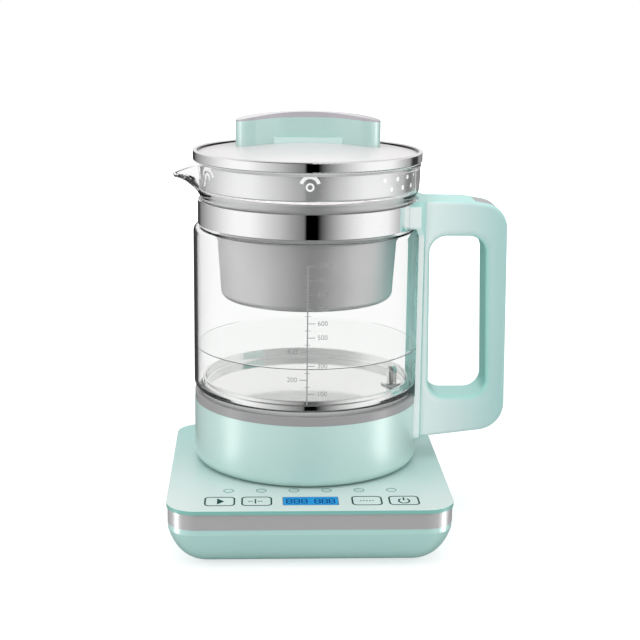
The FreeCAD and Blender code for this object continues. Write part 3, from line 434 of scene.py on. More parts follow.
def dress(thing, material, body, replaced=()):
    """Gives a new piece its material, its body and the nodes that it stands for."""
    thing.data.materials.append(material)
    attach(thing, body)
    if replaced:
        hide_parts(*replaced)


# Outlines

def arc(centre, radius, start, end, steps=OUTLINE_STEPS):
    """Points on an arc, angles in degrees from +X."""
    points = []
    for step in range(steps + 1):
        turn = math.radians(start + (end - start) * step / steps)
        points.append((centre[0] + radius * math.cos(turn), centre[1] + radius * math.sin(turn)))
    return points


def circle(centre, radius, steps=CIRCLE_STEPS):
    """Points round a circle, the first one not repeated."""
    return arc(centre, radius, 0, 360, steps)[:-1]


def rounded_rectangle(x, y, width, depth, corner):
    """Points round a rectangle that is given by its middle."""
    corners = [(x - width / 2, y - depth / 2, corner), (x + width / 2, y - depth / 2, corner),
               (x + width / 2, y + depth / 2, corner), (x - width / 2, y + depth / 2, corner)]
    return [tuple(point) for point in rounded(corners)]


# Prints: flat shapes laid on a surface as thin closed solids

def on_deck(x, y, lift):
    """Lays a print on the base's flat top."""
    return (x, y, deck + lift)


def on_cylinder(radius, centre_turn, level):
    """Lays a print on an upright cylinder; the turn is in degrees from -Y towards +X."""
    def place(x, y, lift):
        turn = math.radians(centre_turn) + x / radius
        reach = radius + lift
        return (reach * math.sin(turn), -reach * math.cos(turn), level + y)
    return place


def stroke(points, width, closed=False):
    """Left and right edges of a line of the given width."""
    count = len(points)
    sides = []
    for index, point in enumerate(points):
        here = Vector(point)
        before = Vector(points[index - 1]) if closed or index > 0 else None
        after = Vector(points[(index + 1) % count]) if closed or index < count - 1 else None
        ways = []
        if before is not None:
            ways.append((here - before).normalized())
        if after is not None:
            ways.append((after - here).normalized())
        along = sum(ways, Vector((0, 0))).normalized()
        across = Vector((-along.y, along.x))
        stretch = 1.0 / max(MITRE_LIMIT, along.dot(ways[0]))
        sides.append((here + across * width / 2 * stretch, here - across * width / 2 * stretch))
    return sides


def strokes_mesh(name, lines, place, thickness=PRINT_LIFT):
    """One object from (points, width, closed) lines."""
    vertices = []
    faces = []
    for points, width, closed in lines:
        sides = stroke(points, width, closed)
        first = len(vertices)
        for left, right in sides:
            for point, lift in ((left, -PRINT_BITE), (right, -PRINT_BITE),
                                (right, thickness), (left, thickness)):
                vertices.append(place(point.x, point.y, lift))
        count = len(sides)
        for index in range(count if closed else count - 1):
            here = first + 4 * index
            there = first + 4 * ((index + 1) % count)
            for corner in range(4):
                after = (corner + 1) % 4
                faces.append((here + corner, there + corner, there + after, here + after))
        if not closed:
            faces.append((first, first + 1, first + 2, first + 3))
            end = first + 4 * (count - 1)
            faces.append((end, end + 1, end + 2, end + 3))
    return finish_mesh(name, vertices, faces, PRINT_SMOOTH_ANGLE)


def patch_mesh(name, outlines, place, thickness=PRINT_LIFT):
    """One object from filled, star-shaped outlines."""
    vertices = []
    faces = []
    for points in outlines:
        first = len(vertices)
        count = len(points)
        for lift in (-PRINT_BITE, thickness):
            for x, y in points:
                vertices.append(place(x, y, lift))
        faces.append(tuple(first + k for k in range(count)))
        faces.append(tuple(first + count + k for k in range(count)))
        for index in range(count):
            after = (index + 1) % count
            faces.append((first + index, first + after, first + count + after, first + count + index))
    return finish_mesh(name, vertices, faces, PRINT_SMOOTH_ANGLE)


def text_object(name, rows, place):
    """Numbers laid on a surface: rows of (text, x, y, height, alignment)."""
    vertices = []
    faces = []
    for text, x, y, height, align in rows:
        curve = bpy.data.curves.new(name, "FONT")
        curve.body = text
        curve.size = height
        curve.align_x = align
        curve.align_y = "CENTER"
        curve.resolution_u = LETTER_RESOLUTION
        curve.extrude = LETTER_DEPTH
        letters = bpy.data.objects.new(name, curve)
        mesh = bpy.data.meshes.new_from_object(letters)
        first = len(vertices)
        for vertex in mesh.vertices:
            lift = PRINT_LIFT if vertex.co.z > 0 else -PRINT_BITE
            vertices.append(place(x + vertex.co.x, y + vertex.co.y, lift))
        for face in mesh.polygons:
            faces.append(tuple(first + k for k in face.vertices))
        bpy.data.objects.remove(letters)
        bpy.data.meshes.remove(mesh)
        bpy.data.curves.remove(curve)
    return finish_mesh(name, vertices, faces, PRINT_SMOOTH_ANGLE)


# Shader nodes

def start_material(name):
    """A new material, its node tree and its shader."""
    material = bpy.data.materials.new(name)
    material.use_nodes = True
    tree = material.node_tree
    return material, tree, tree.nodes["Principled BSDF"]


def add(tree, kind, values=None, **settings):
    """A node with its settings and its inputs, each a value or another node's output."""
    node = tree.nodes.new(kind)
    for key, value in settings.items():
        setattr(node, key, value)
    for key, value in (values or {}).items():
        if hasattr(value, "is_output"):
            tree.links.new(value, node.inputs[key])
        else:
            node.inputs[key].default_value = value
    return node


def math_node(tree, operation, *values):
    """The result of one operation on numbers."""
    return add(tree, "ShaderNodeMath", dict(enumerate(values)), operation=operation).outputs[0]


def own_place(tree):
    """Coordinates on the object itself, in metres."""
    return add(tree, "ShaderNodeTexCoord").outputs["Object"]


def axes(tree, vector):
    """The x, y and z of a vector."""
    return add(tree, "ShaderNodeSeparateXYZ", {"Vector": vector}).outputs


def length(tree, vector):
    """The length of a vector."""
    return add(tree, "ShaderNodeVectorMath", {0: vector}, operation="LENGTH").outputs["Value"]


def remap(tree, value, start, end, low=0.0, high=1.0):
    """A number that goes from low to high while a value goes from start to end."""
    return add(tree, "ShaderNodeMapRange", {"Value": value, "From Min": start, "From Max": end,
                                            "To Min": low, "To Max": high}).outputs[0]


def between(tree, share, low, high):
    """A number that follows a 0 to 1 share from low to high."""
    return remap(tree, share, 0.0, 1.0, low, high)


def mixed(tree, share, first, second):
    """A colour from the first to the second, each a colour or another node's output."""
    ends = [end if hasattr(end, "is_output") else (*end, 1.0) for end in (first, second)]
    return add(tree, "ShaderNodeMix", {0: share, 6: ends[0], 7: ends[1]}, data_type="RGBA").outputs[2]


def grey_ramp(tree, share, stops):
    """A grey that follows a 0 to 1 share through stops of (share, grey)."""
    node = add(tree, "ShaderNodeValToRGB", {"Fac": share})
    elements = node.color_ramp.elements
    while len(elements) < len(stops):
        elements.new(1.0)
    for element, (position, grey) in zip(elements, stops):
        element.position = position
        element.color = (grey, grey, grey, 1.0)
    return node.outputs["Color"]


def noise(tree, scale, detail=2.0):
    """Noise on the object's own coordinates; scale is in features per metre."""
    values = {"Vector": own_place(tree), "Scale": scale, "Detail": detail}
    return add(tree, "ShaderNodeTexNoise", values).outputs["Fac"]


def round_noise(tree):
    """Noise drawn out round the kettle's axis, as turned or spun metal has it."""
    x, y, z = axes(tree, own_place(tree))
    radius = math_node(tree, "SQRT", math_node(tree, "ADD", math_node(tree, "MULTIPLY", x, x),
                                               math_node(tree, "MULTIPLY", y, y)))
    turn = math_node(tree, "MULTIPLY", math_node(tree, "ARCTAN2", y, x), TURNED_STRETCH)
    joined = add(tree, "ShaderNodeCombineXYZ", {"X": radius, "Y": z, "Z": turn}).outputs[0]
    values = {"Vector": joined, "Scale": TURNED_SCALE, "Detail": 3.0}
    return add(tree, "ShaderNodeTexNoise", values).outputs["Fac"]


def bump(tree, shader, height, strength, distance):
    """Raises the surface by a height pattern."""
    node = add(tree, "ShaderNodeBump", {"Height": height, "Strength": strength, "Distance": distance})
    tree.links.new(node.outputs["Normal"], shader.inputs["Normal"])


def scaled(colour, factor):
    """A colour made darker or lighter, with no channel above 1."""
    return tuple(min(1.0, channel * factor) for channel in colour)


def drifted(tree, share, colour, drift):
    """A colour that wanders a little to both sides of itself."""
    return mixed(tree, share, scaled(colour, 1 - drift), scaled(colour, 1 + drift))


# Kinds of material

def paint_light_fade(tree, colours, painted_light_colour, axis, start, end):
    """Colours that give way to a paler colour along an axis, from start to end in metres, as painted light.
    """
    share = remap(tree, axes(tree, own_place(tree))[axis], start, end)
    return mixed(tree, share, colours, painted_light_colour)


def paint_edge_shade(tree, colours, painted_shade_colour, face_axis):
    """Colours that give way to a painted shade colour where the surface turns away from an axis, as painted
    shade.
    """
    facing = add(tree, "ShaderNodeTexCoord").outputs["Normal"]
    flat = remap(tree, math_node(tree, "ABSOLUTE", axes(tree, facing)[face_axis]), *SHADE_FACING_SPAN)
    return mixed(tree, flat, painted_shade_colour, colours)


def plastic(name, colour, roughness, coat=0.0, coat_roughness=0.1, coat_ior=1.5, metallic=0.0, grain=0.1,
            specular=0.5, painted_light_colour=None, painted_light_span=(), painted_shade_colour=None, face_axis=2):
    """Moulded plastic: a slight drift of colour, an uneven gloss and a fine grain.

    A paler colour takes over along its span (axis, from, to) as painted light, and a
    painted shade colour where the surface turns away from the face axis.
    """
    material, tree, shader = start_material(name)
    colours = drifted(tree, noise(tree, DRIFT_SCALE), colour, PLASTIC_DRIFT)
    if painted_light_colour:
        colours = paint_light_fade(tree, colours, painted_light_colour, *painted_light_span)
    if painted_shade_colour:
        colours = paint_edge_shade(tree, colours, painted_shade_colour, face_axis)
    tree.links.new(colours, shader.inputs["Base Color"])
    gloss = noise(tree, GLOSS_SCALE, detail=4.0)
    rough = between(tree, gloss, roughness - GLOSS_LESS, roughness + GLOSS_MORE)
    tree.links.new(rough, shader.inputs["Roughness"])
    bump(tree, shader, noise(tree, GRAIN_SCALE), grain, GRAIN_DEPTH)
    shader.inputs["Specular IOR Level"].default_value = specular
    shader.inputs["Metallic"].default_value = metallic
    shader.inputs["Coat Weight"].default_value = coat
    shader.inputs["Coat Roughness"].default_value = coat_roughness
    shader.inputs["Coat IOR"].default_value = coat_ior
    return material


def ink(name, colour):
    """A flat, matt print."""
    return plastic(name, colour, INK_ROUGHNESS, specular=INK_SPECULAR)


def paint_shade_within(tree, colours, radius):
    """Colours painted almost black inside a radius from the kettle's axis, as painted shade."""
    values = {0: own_place(tree), 1: (1.0, 1.0, 0.0)}
    level = add(tree, "ShaderNodeVectorMath", values, operation="MULTIPLY").outputs[0]
    outside = math_node(tree, "GREATER_THAN", length(tree, level), radius * MM)
    return mixed(tree, outside, PAINTED_WALL_SHADE, colours)


def steel(name, colour, roughness, grain=0.06, metallic=1.0, painted_shade_radius=None, above=None):
    """Steel with a finish drawn round the axis.

    It can be painted near black within one radius, as painted shade. Above one level it
    can have another look, given as (level, grey, metallic share, roughness); there its grey
    and metallic share are painted light: a highlight on the bowl's rim, a shade line on the lid ring's
    edge.
    """
    material, tree, shader = start_material(name)
    lines = round_noise(tree)
    colours = drifted(tree, lines, colour, STEEL_DRIFT)
    if painted_shade_radius:
        colours = paint_shade_within(tree, colours, painted_shade_radius)
    smudge = noise(tree, SMUDGE_SCALE, detail=3.0)
    rough = between(tree, smudge, *[roughness * share for share in SMUDGE_SPAN])
    shader.inputs["Metallic"].default_value = metallic
    if above:
        level, grey, top_metallic, top_roughness = above
        upper = math_node(tree, "GREATER_THAN", axes(tree, own_place(tree))[2], level * MM)
        colours = mixed(tree, upper, colours, (grey, grey, grey))
        rough = math_node(tree, "MULTIPLY", rough, between(tree, upper, 1.0, top_roughness / roughness))
        tree.links.new(between(tree, upper, metallic, top_metallic), shader.inputs["Metallic"])
    tree.links.new(colours, shader.inputs["Base Color"])
    tree.links.new(rough, shader.inputs["Roughness"])
    bump(tree, shader, lines, grain, TURNED_DEPTH)
    return material


def clear(name, colour, ior, shadow):
    """Smooth glass or water that lets the lamps through."""
    material, tree, shader = start_material(name)
    shader.inputs["Transmission Weight"].default_value = 1.0
    shader.inputs["IOR"].default_value = ior
    shader.inputs["Roughness"].default_value = 0.0
    wave = noise(tree, WAVE_SCALE)
    colours = mixed(tree, wave, scaled(colour, 1 - CLEAR_DRIFT), colour)
    tree.links.new(colours, shader.inputs["Base Color"])
    bump(tree, shader, wave, WAVE_STRENGTH, WAVE_DEPTH)
    shadow_ray = add(tree, "ShaderNodeLightPath").outputs["Is Shadow Ray"]
    thin = add(tree, "ShaderNodeBsdfTransparent", {"Color": (*shadow, 1.0)}).outputs[0]
    mix = add(tree, "ShaderNodeMixShader", {0: shadow_ray, 1: shader.outputs[0], 2: thin})
    tree.links.new(mix.outputs[0], tree.nodes["Material Output"].inputs["Surface"])
    return material


def glowing(name, colour, strength):
    """A surface that gives off a faint light of its own, with uneven colour."""
    material, tree, shader = start_material(name)
    colours = mixed(tree, noise(tree, GLOW_SCALE), scaled(colour, 1 - GLOW_DRIFT), colour)
    tree.links.new(colours, shader.inputs["Base Color"])
    tree.links.new(colours, shader.inputs["Emission Color"])
    shader.inputs["Emission Strength"].default_value = strength
    shader.inputs["Roughness"].default_value = GLOW_ROUGHNESS
    shader.inputs["Specular IOR Level"].default_value = GLOW_SPECULAR
    return material


# Materials of the CAD's slots

pearl_coat = {"coat": 1.0, "coat_roughness": 0.32, "coat_ior": 2.0}
soft_coat = {"coat": 0.6, "coat_roughness": 0.3}

# The bowl's rim: from this level up, its grey, metallic share and roughness; the smoother finish is its
# own, the paler grey and lower metallic share are a painted highlight
bowl_rim_highlight = (collar_top - BOWL_RIM_DEPTH, 0.78, 0.65, 0.32)

finishes = {
    "casing_mint": plastic("mint_pearl", (0.42, 0.61, 0.565), 0.45, **pearl_coat),
    "casing_grey": plastic("grey_satin", (0.34, 0.335, 0.34), 0.42, coat=1.0, coat_roughness=0.34,
                           coat_ior=2.0),
    "foot_rubber": plastic("foot_rubber", (0.03, 0.032, 0.034), 0.75, grain=0.4),
    "screw_steel": steel("screw_steel", (0.62, 0.62, 0.62), 0.32),
    "display_glass": plastic("display_glass", (0.02, 0.06, 0.2), 0.08, coat=1.0, coat_roughness=0.03),
    "dark_plastic": plastic("dark_plastic", (0.05, 0.055, 0.06), 0.5, grain=0.3),
    "lens_clear": plastic("lens_milky", (0.46, 0.62, 0.59), 0.35, coat=0.6, coat_roughness=0.2),
    "touch_foil": plastic("touch_foil", (0.6, 0.42, 0.2), 0.4, metallic=0.9),
    "circuit_board": plastic("circuit_board", (0.02, 0.12, 0.05), 0.35, coat=0.4),
    "can_metal": steel("can_metal", (0.65, 0.65, 0.67), 0.3),
    "terminal_white": plastic("ceramic_white", (0.78, 0.78, 0.74), 0.35),
    "contact_brass": steel("contact_brass", (0.8, 0.6, 0.28), 0.25),
    "silicone": plastic("silicone_clear", (0.72, 0.73, 0.72), 0.5, grain=0.2),
    "trim_grey": plastic("trim_grey", (0.27, 0.265, 0.27), 0.36, coat=0.2, coat_roughness=0.25),
    "satin_steel": steel("dish_steel", (0.91, 0.91, 0.90), 0.08, grain=0.02, metallic=0.85),
    "spreader_aluminium": steel("spreader_aluminium", (0.82, 0.82, 0.83), 0.35),
    "element_steel": steel("element_steel", (0.3, 0.28, 0.26), 0.4),
    "jug_glass": clear("jug_glass", (0.99, 0.995, 0.99), 1.12, (0.95, 0.96, 0.96)),
    "polished_steel": steel("polished_steel", (0.93, 0.93, 0.93), 0.035, grain=0.01),
    "bowl_steel": steel("bowl_steel", (0.74, 0.73, 0.735), 0.42, grain=0.05, metallic=0.75, above=bowl_rim_highlight),
    # The lid's plate is painted paler towards the front as painted light
    "lid_white": plastic("lid_white", (0.50, 0.475, 0.485), 0.3, coat=0.1, coat_roughness=0.15,
                         painted_light_colour=(0.67, 0.655, 0.66), painted_light_span=(1, 0.02, -0.055)),
    "lid_insert": plastic("lid_insert", (0.42, 0.40, 0.43), 0.12, coat=0.8, coat_roughness=0.05),
}


# Materials of single nodes, in place of their slot's

# The top edge of the lid's ring: from this level up, its grey, metallic share and roughness; it is rougher
# to soften its facets, and its darker grey is a painted shade line
ring_edge_shade = (lid_ring_top - RING_EDGE_DEPTH, 0.8, 1.0, 0.35)

own_finishes = {
    # The tray, the cover and the grip are the slot's mint plastic, each given its own colour for how light
    # falls on it: painted light and shade
    "base_tray": plastic("mint_tray", (0.36, 0.60, 0.56), 0.45, **pearl_coat),
    # The cover is painted paler towards the front as painted light, and darker green where it turns down at
    # its edges as painted shade
    "base_cover": plastic("mint_cover", (0.28, 0.57, 0.53), 0.45, **soft_coat,
                          painted_light_colour=(0.57, 0.66, 0.64), painted_light_span=(1, 0.06, -0.085),
                          painted_shade_colour=(0.16, 0.40, 0.35)),
    # The grip is painted paler towards the jug as painted light, and a deeper teal on its sides as painted
    # shade
    "handle_shell": plastic("mint_grip", (0.31, 0.52, 0.50), 0.45, **soft_coat,
                            painted_light_colour=(0.68, 0.76, 0.75), painted_light_span=(0, 0.115, 0.066),
                            painted_shade_colour=(0.38, 0.72, 0.67), face_axis=1),
    "lid_handle_base": plastic("mint_plinth", (0.55, 0.72, 0.69), 0.4, coat=0.6, coat_roughness=0.2),
    # The lid ring's inner wall is painted near black as painted shade
    "lid_rim": steel("lid_ring_steel", (0.93, 0.93, 0.93), 0.035, grain=0.01,
                     painted_shade_radius=lid_ring_radius - RING_WALL, above=ring_edge_shade),
    "lid_skirt": steel("skirt_steel", (0.92, 0.92, 0.92), 0.07, grain=0.01, metallic=0.7),
}


# Materials of the pieces that are made here

# The gauze glows so that the strainer holes show white: painted light
gauze = glowing("strainer_gauze", (0.85, 0.85, 0.85), 0.7)
water_finish = clear("water", (0.99, 1.0, 0.995), 1.333, (0.98, 0.99, 0.99))
key_ink = ink("key_ink", (0.005, 0.05, 0.04))
scale_ink = ink("scale_ink", (0.26, 0.265, 0.27))
digit_ink = ink("digit_ink", (0.0, 0.02, 0.14))
# The lid's white marks glow a little so that they stay white in shade: painted light
glowing_white_ink = glowing("glowing_white_ink", (0.92, 0.92, 0.92), 0.3)
screen_glow = glowing("screen_glow", (0.003, 0.20, 0.47), 0.35)


def dress_nodes():
    """Gives each CAD node its own material or its slot's."""
    for row in frame["record"]["subparts"]:
        finish = own_finishes.get(row["node"], finishes[row["material_slot"]])
        for place in nodes[row["node"]].material_slots:
            place.material = finish


# Glass jug with its beak

neck = glass_radius - NECK_STEP
beak_reach = beak_end - neck


def jug_profile():
    """Outer line from the foot to the rim, and inner line back down."""
    spigot = glass_radius - SPIGOT_STEP
    spigot_top = trim_top + SPIGOT_RISE
    shoulder = collar_bottom - SHOULDER_DROP
    waist = glass_radius - WAIST_STEP
    bead = neck + RIM_BEAD
    outer = [(spigot, glass_foot),
             (spigot, spigot_top, SPIGOT_ROUND),
             (glass_radius, spigot_top + FOOT_RISE, FOOT_ROUND),
             (glass_radius, shoulder, SHOULDER_ROUND),
             (waist, shoulder, WAIST_ROUND),
             (waist, collar_top + WAIST_RISE, WAIST_TOP_ROUND),
             (neck - FLARE_STEP, collar_top + FLARE_RISE, FLARE_ROUND),
             (neck, collar_top + NECK_RISE),
             (neck, rim_top - BEAD_DEPTH - BEAD_RUN_IN),
             (bead, rim_top - BEAD_DEPTH, BEAD_ROUND),
             (bead, rim_top, RIM_ROUND)]
    inner = [(neck - GLASS_WALL, rim_top, RIM_ROUND),
             (neck - GLASS_WALL, collar_top + INNER_FLARE_RISE, INNER_FLARE_ROUND),
             (waist - GLASS_WALL, collar_top + INNER_WAIST_RISE, WAIST_TOP_ROUND),
             (waist - GLASS_WALL, shoulder - GLASS_WALL, WAIST_ROUND + GLASS_WALL),
             (glass_radius - GLASS_WALL, shoulder - GLASS_WALL, SHOULDER_ROUND - GLASS_WALL),
             (glass_radius - GLASS_WALL, spigot_top + FOOT_RISE + FOOT_WALL, FOOT_ROUND),
             (spigot - GLASS_WALL, spigot_top + FOOT_WALL, SPIGOT_ROUND),
             (spigot - GLASS_WALL, glass_foot)]
    return outer + inner


def jug_angles():
    """Angles round the jug, closer together at the beak."""
    angles = []
    angle = 0.0
    while angle < 360.0:
        angles.append(angle)
        near = abs(angle - 180.0) < BEAK_HALF_ANGLE + BEAK_MARGIN
        angle += BEAK_STEP if near else JUG_STEP
    return angles


def beak_share(turn):
    """How far the beak draws the rim out at this angle from -X, from 0 to 1."""
    away = math.hypot(turn, BEAK_TIP_ROUND) - BEAK_TIP_ROUND
    return max(0.0, 1.0 - away / BEAK_HALF_ANGLE) ** BEAK_TAPER


def beak_rise(height):
    """How much of the reach the beak has at this height."""
    fall = BEAK_DEPTH - BEAK_TIP_DEPTH
    level = (rim_top - BEAK_TIP_DEPTH - height) / fall
    part = math.acos(max(-1.0, min(1.0, 2 * level - 1))) / math.pi
    out = max(0.0, (part * (BEAK_INSET + beak_reach) - BEAK_INSET) / beak_reach)
    return out * out / (out + BEAK_EASE) * (1 + BEAK_EASE)


def jug_bend(angle, radius, height):
    """Draws the neck out to the beak and lowers its rim there."""
    share = beak_share(angle - 180.0)
    if share <= 0 or height < collar_top + BEAK_START:
        return radius, height
    start = collar_top + BEAK_DROP_START
    lower = max(0.0, min(1.0, (height - start) / (rim_top - start)))
    height = height - BEAK_DROP * share * lower
    inside = radius < neck - GLASS_WALL / 2
    shift = GLASS_WALL * BEAK_WALL_SHARE if inside else 0.0
    return radius + beak_reach * share * beak_rise(height - shift), height


def make_glass_jug():
    """The jug, with its beak drawn out of the neck."""
    line = divided(rounded(jug_profile()), LONGEST_RUN)
    jug = lathe("glass_jug", line, jug_bend, jug_angles())
    dress(jug, finishes["jug_glass"], "kettle", ["glass_body"])


# Inside the jug

def make_dish_hem():
    """The steel floor's edge, turned down outside the top of its seal."""
    seal = glass_radius - SPIGOT_STEP - GLASS_WALL - SEAL_FIT
    rim = dish_radius - DISH_LIP
    low = seal_top - HEM_DROP
    high = seal_top + HEM_RISE
    line = rounded([(seal, low),
                    (seal + HEM_SHEET, low),
                    (seal + HEM_BULGE, low + HEM_BULGE_RISE, HEM_BULGE_ROUND),
                    (seal + HEM_SHEET, high, HEM_TOP_ROUND),
                    (rim, high),
                    (rim, seal_top + SEAL_GAP),
                    (seal, seal_top + SEAL_GAP)])
    dress(lathe("dish_hem", line), finishes["polished_steel"], "kettle")


def make_water():
    """The water's surface, with the rim that creeps up the glass."""
    water_level = trim_top + WATER_RISE
    wall = glass_radius - GLASS_WALL + WATER_BITE
    top = [(wall / 2, water_level)]
    for step in range(MENISCUS_STEPS + 1):
        part = step / MENISCUS_STEPS
        top.append((wall - MENISCUS_WIDTH * (1 - part), water_level + MENISCUS * part ** MENISCUS_CURVE))
    under = [(radius, height - WATER_SHEET) for radius, height in reversed(top)]
    profile = [(0, water_level)] + top + under + [(0, water_level - WATER_SHEET)]
    dress(turned_disc("water_surface", profile), water_finish, "kettle")


# Prints on the panel

def play_icon(x):
    """A filled triangle that points right."""
    return [(x - PLAY_BACK, panel_y - PLAY_HALF_HEIGHT), (x + PLAY_FRONT, panel_y),
            (x - PLAY_BACK, panel_y + PLAY_HALF_HEIGHT)]


def power_icon(x):
    """An open ring and the stem in its gap, as two lines."""
    ring = arc((x, panel_y - POWER_DROP), POWER_RADIUS, *POWER_ARC)
    narrow = [(x + POWER_NARROWING * (a - x), b) for a, b in ring]
    stem = [(x, panel_y + end) for end in POWER_STEM]
    return [(narrow, POWER_LINE, False), (stem, POWER_LINE, False)]


def make_key_prints():
    """A frame round each key, and its icon: a triangle, a bar with dots, a row of dots, a power sign."""
    play, bar, dots, power = KEY_PLACES
    lines = []
    for x in KEY_PLACES:
        lines.append((rounded_rectangle(x, panel_y, KEY_WIDTH, KEY_DEPTH, KEY_CORNER), KEY_LINE, True))
    bar_ends = [(bar - BAR_OFFSET, panel_y + end) for end in (-BAR_HALF_HEIGHT, BAR_HALF_HEIGHT)]
    lines.append((bar_ends, BAR_LINE, False))
    lines += power_icon(power)
    dress(strokes_mesh("key_outlines", lines, on_deck), key_ink, "base")
    patches = [play_icon(play)]
    for offset in BAR_DOTS:
        patches.append(circle((bar + offset, panel_y), BAR_DOT_RADIUS, DOT_STEPS))
    for index in range(DOT_COUNT):
        x = dots + (index - (DOT_COUNT - 1) / 2) * DOT_PITCH
        patches.append(circle((x, panel_y), DOT_RADIUS, DOT_STEPS))
    dress(patch_mesh("key_icons", patches, on_deck), key_ink, "base")


def make_lamp_rings():
    """A thin ring round each lamp of the row."""
    lines = []
    for index in range(LAMP_COUNT):
        x = (index - (LAMP_COUNT - 1) / 2) * LAMP_PITCH + LAMP_ROW_X
        lines.append((circle((x, LAMP_ROW_Y), LAMP_RADIUS + LAMP_RING_GAP), LAMP_RING_LINE, True))
    dress(strokes_mesh("lamp_rings", lines, on_deck), key_ink, "base")


def digit_lines(x, y):
    """All seven strokes of a display digit."""
    low = y - DIGIT_HEIGHT / 2
    high = y + DIGIT_HEIGHT / 2
    left = x - DIGIT_WIDTH / 2
    right = x + DIGIT_WIDTH / 2
    lines = []
    for level in (low, y, high):
        lines.append(([(left + DIGIT_GAP, level), (right - DIGIT_GAP, level)], DIGIT_LINE, False))
    for side in (left, right):
        lines.append(([(side, low + DIGIT_GAP), (side, y - DIGIT_GAP)], DIGIT_LINE, False))
        lines.append(([(side, y + DIGIT_GAP), (side, high - DIGIT_GAP)], DIGIT_LINE, False))
    return lines


def make_display_face():
    """The lit face of the display, with its digits."""
    width = window_high.x - window_low.x - FACE_INSET
    depth = window_high.y - window_low.y - FACE_INSET
    face = rounded_rectangle(0, panel_y, width, depth, FACE_CORNER)
    glow = patch_mesh("display_face", [face], on_deck, FACE_LIFT)
    dress(glow, screen_glow, "base")
    lines = []
    for x in DIGIT_PLACES:
        lines += digit_lines(x, panel_y - DIGIT_DROP)
    digits = strokes_mesh("display_digits", lines, on_deck, DIGIT_LIFT)
    dress(digits, digit_ink, "base")


# Scale on the glass, and marks and gauze on the lid's skirt

def make_scale():
    """The scale's line, its ticks and half ticks, and its numbers."""
    place = on_cylinder(glass_radius + SURFACE_GAP, SCALE_TURN, 0.0)
    first = trim_top + SCALE_START
    last = first + SCALE_SPACING * (SCALE_COUNT - 1)
    lines = [([(0, first - SCALE_TAIL), (0, last)], SCALE_LINE, False)]
    rows = []
    for index in range(SCALE_COUNT):
        level = first + SCALE_SPACING * index
        side = -1 if index in NUMBERS_ON_THE_LEFT else 1
        lines.append(([(0, level), (side * TICK_LENGTH, level)], TICK_LINE, False))
        rows.append((str(SCALE_UNIT * (index + 1)), side * NUMBER_OFFSET, level, NUMBER_HEIGHT,
                     "LEFT" if side > 0 else "RIGHT"))
    for index in range(SCALE_COUNT - 1):
        level = first + SCALE_SPACING * (index + 0.5)
        lines.append(([(-HALF_TICK_REACH, level), (HALF_TICK_REACH, level)], HALF_TICK_LINE, False))
    for thing in (strokes_mesh("scale_marks", lines, place), text_object("scale_numbers", rows, place)):
        dress(thing, scale_ink, "kettle")
        thing.visible_shadow = False


def make_lid_marks():
    """An arch over a small ring at the front, and an arch over an arrow head at the left."""
    front = [(arc((0, 0), ARCH_RADIUS, *ARCH_SPAN), ARCH_LINE, False),
             (circle((0, -EYE_DROP), EYE_RADIUS), EYE_LINE, True)]
    brow = [(x * BROW_WIDENING, y) for x, y in arc((0, 0), BROW_RADIUS, 0, 180)]
    left = [(brow, BROW_LINE, False), (ARROW_POINTS, ARROW_LINE, False)]
    for name, turn, lines in (("lid_mark_front", FRONT_MARK_TURN, front),
                              ("lid_mark_left", LEFT_MARK_TURN, left)):
        place = on_cylinder(skirt_radius + SURFACE_GAP, turn, rim_top - MARK_DROP)
        mark = strokes_mesh(name, lines, place)
        dress(mark, glowing_white_ink, "lid")
        mark.visible_shadow = False


def make_gauze():
    """The gauze behind the skirt's strainer holes, which glows as painted light."""
    reach = skirt_radius * math.radians(GAUZE_HALF_ANGLE)
    points = [(reach * step / GAUZE_STEPS, 0.0) for step in range(-GAUZE_STEPS, GAUZE_STEPS + 1)]
    place = on_cylinder(skirt_radius - GAUZE_INSET, GAUZE_TURN, lid_ring_bottom - GAUZE_DROP)
    mesh = strokes_mesh("strainer_gauze", [(points, GAUZE_HEIGHT, False)], place)
    dress(mesh, gauze, "lid")


# Floor and studio

def make_floor():
    """A pale floor that the camera sees fade to white."""
    mesh = bpy.data.meshes.new("floor")
    corners = [(-FLOOR_REACH, -FLOOR_REACH, 0), (FLOOR_REACH, -FLOOR_REACH, 0),
               (FLOOR_REACH, FLOOR_REACH, 0), (-FLOOR_REACH, FLOOR_REACH, 0)]
    mesh.from_pydata(corners, [], [(0, 1, 2, 3)])
    floor = bpy.data.objects.new("floor", mesh)
    bpy.context.scene.collection.objects.link(floor)
    material, tree, shader = start_material("pale_floor")
    colours = mixed(tree, noise(tree, FLOOR_SCALE), FLOOR_DARK, FLOOR_LIGHT)
    tree.links.new(colours, shader.inputs["Base Color"])
    shader.inputs["Roughness"].default_value = FLOOR_ROUGHNESS
    fade = remap(tree, length(tree, own_place(tree)), *FLOOR_FADE, FLOOR_NEAR_GLOW, 1.0)
    seen = add(tree, "ShaderNodeLightPath").outputs["Is Camera Ray"]
    glow = add(tree, "ShaderNodeMix", {0: seen, 2: FLOOR_UNSEEN_GLOW, 3: fade}).outputs[0]
    shader.inputs["Emission Color"].default_value = (*WHITE, 1.0)
    tree.links.new(glow, shader.inputs["Emission Strength"])
    floor.data.materials.append(material)
    floor.visible_glossy = False
    floor.visible_transmission = False


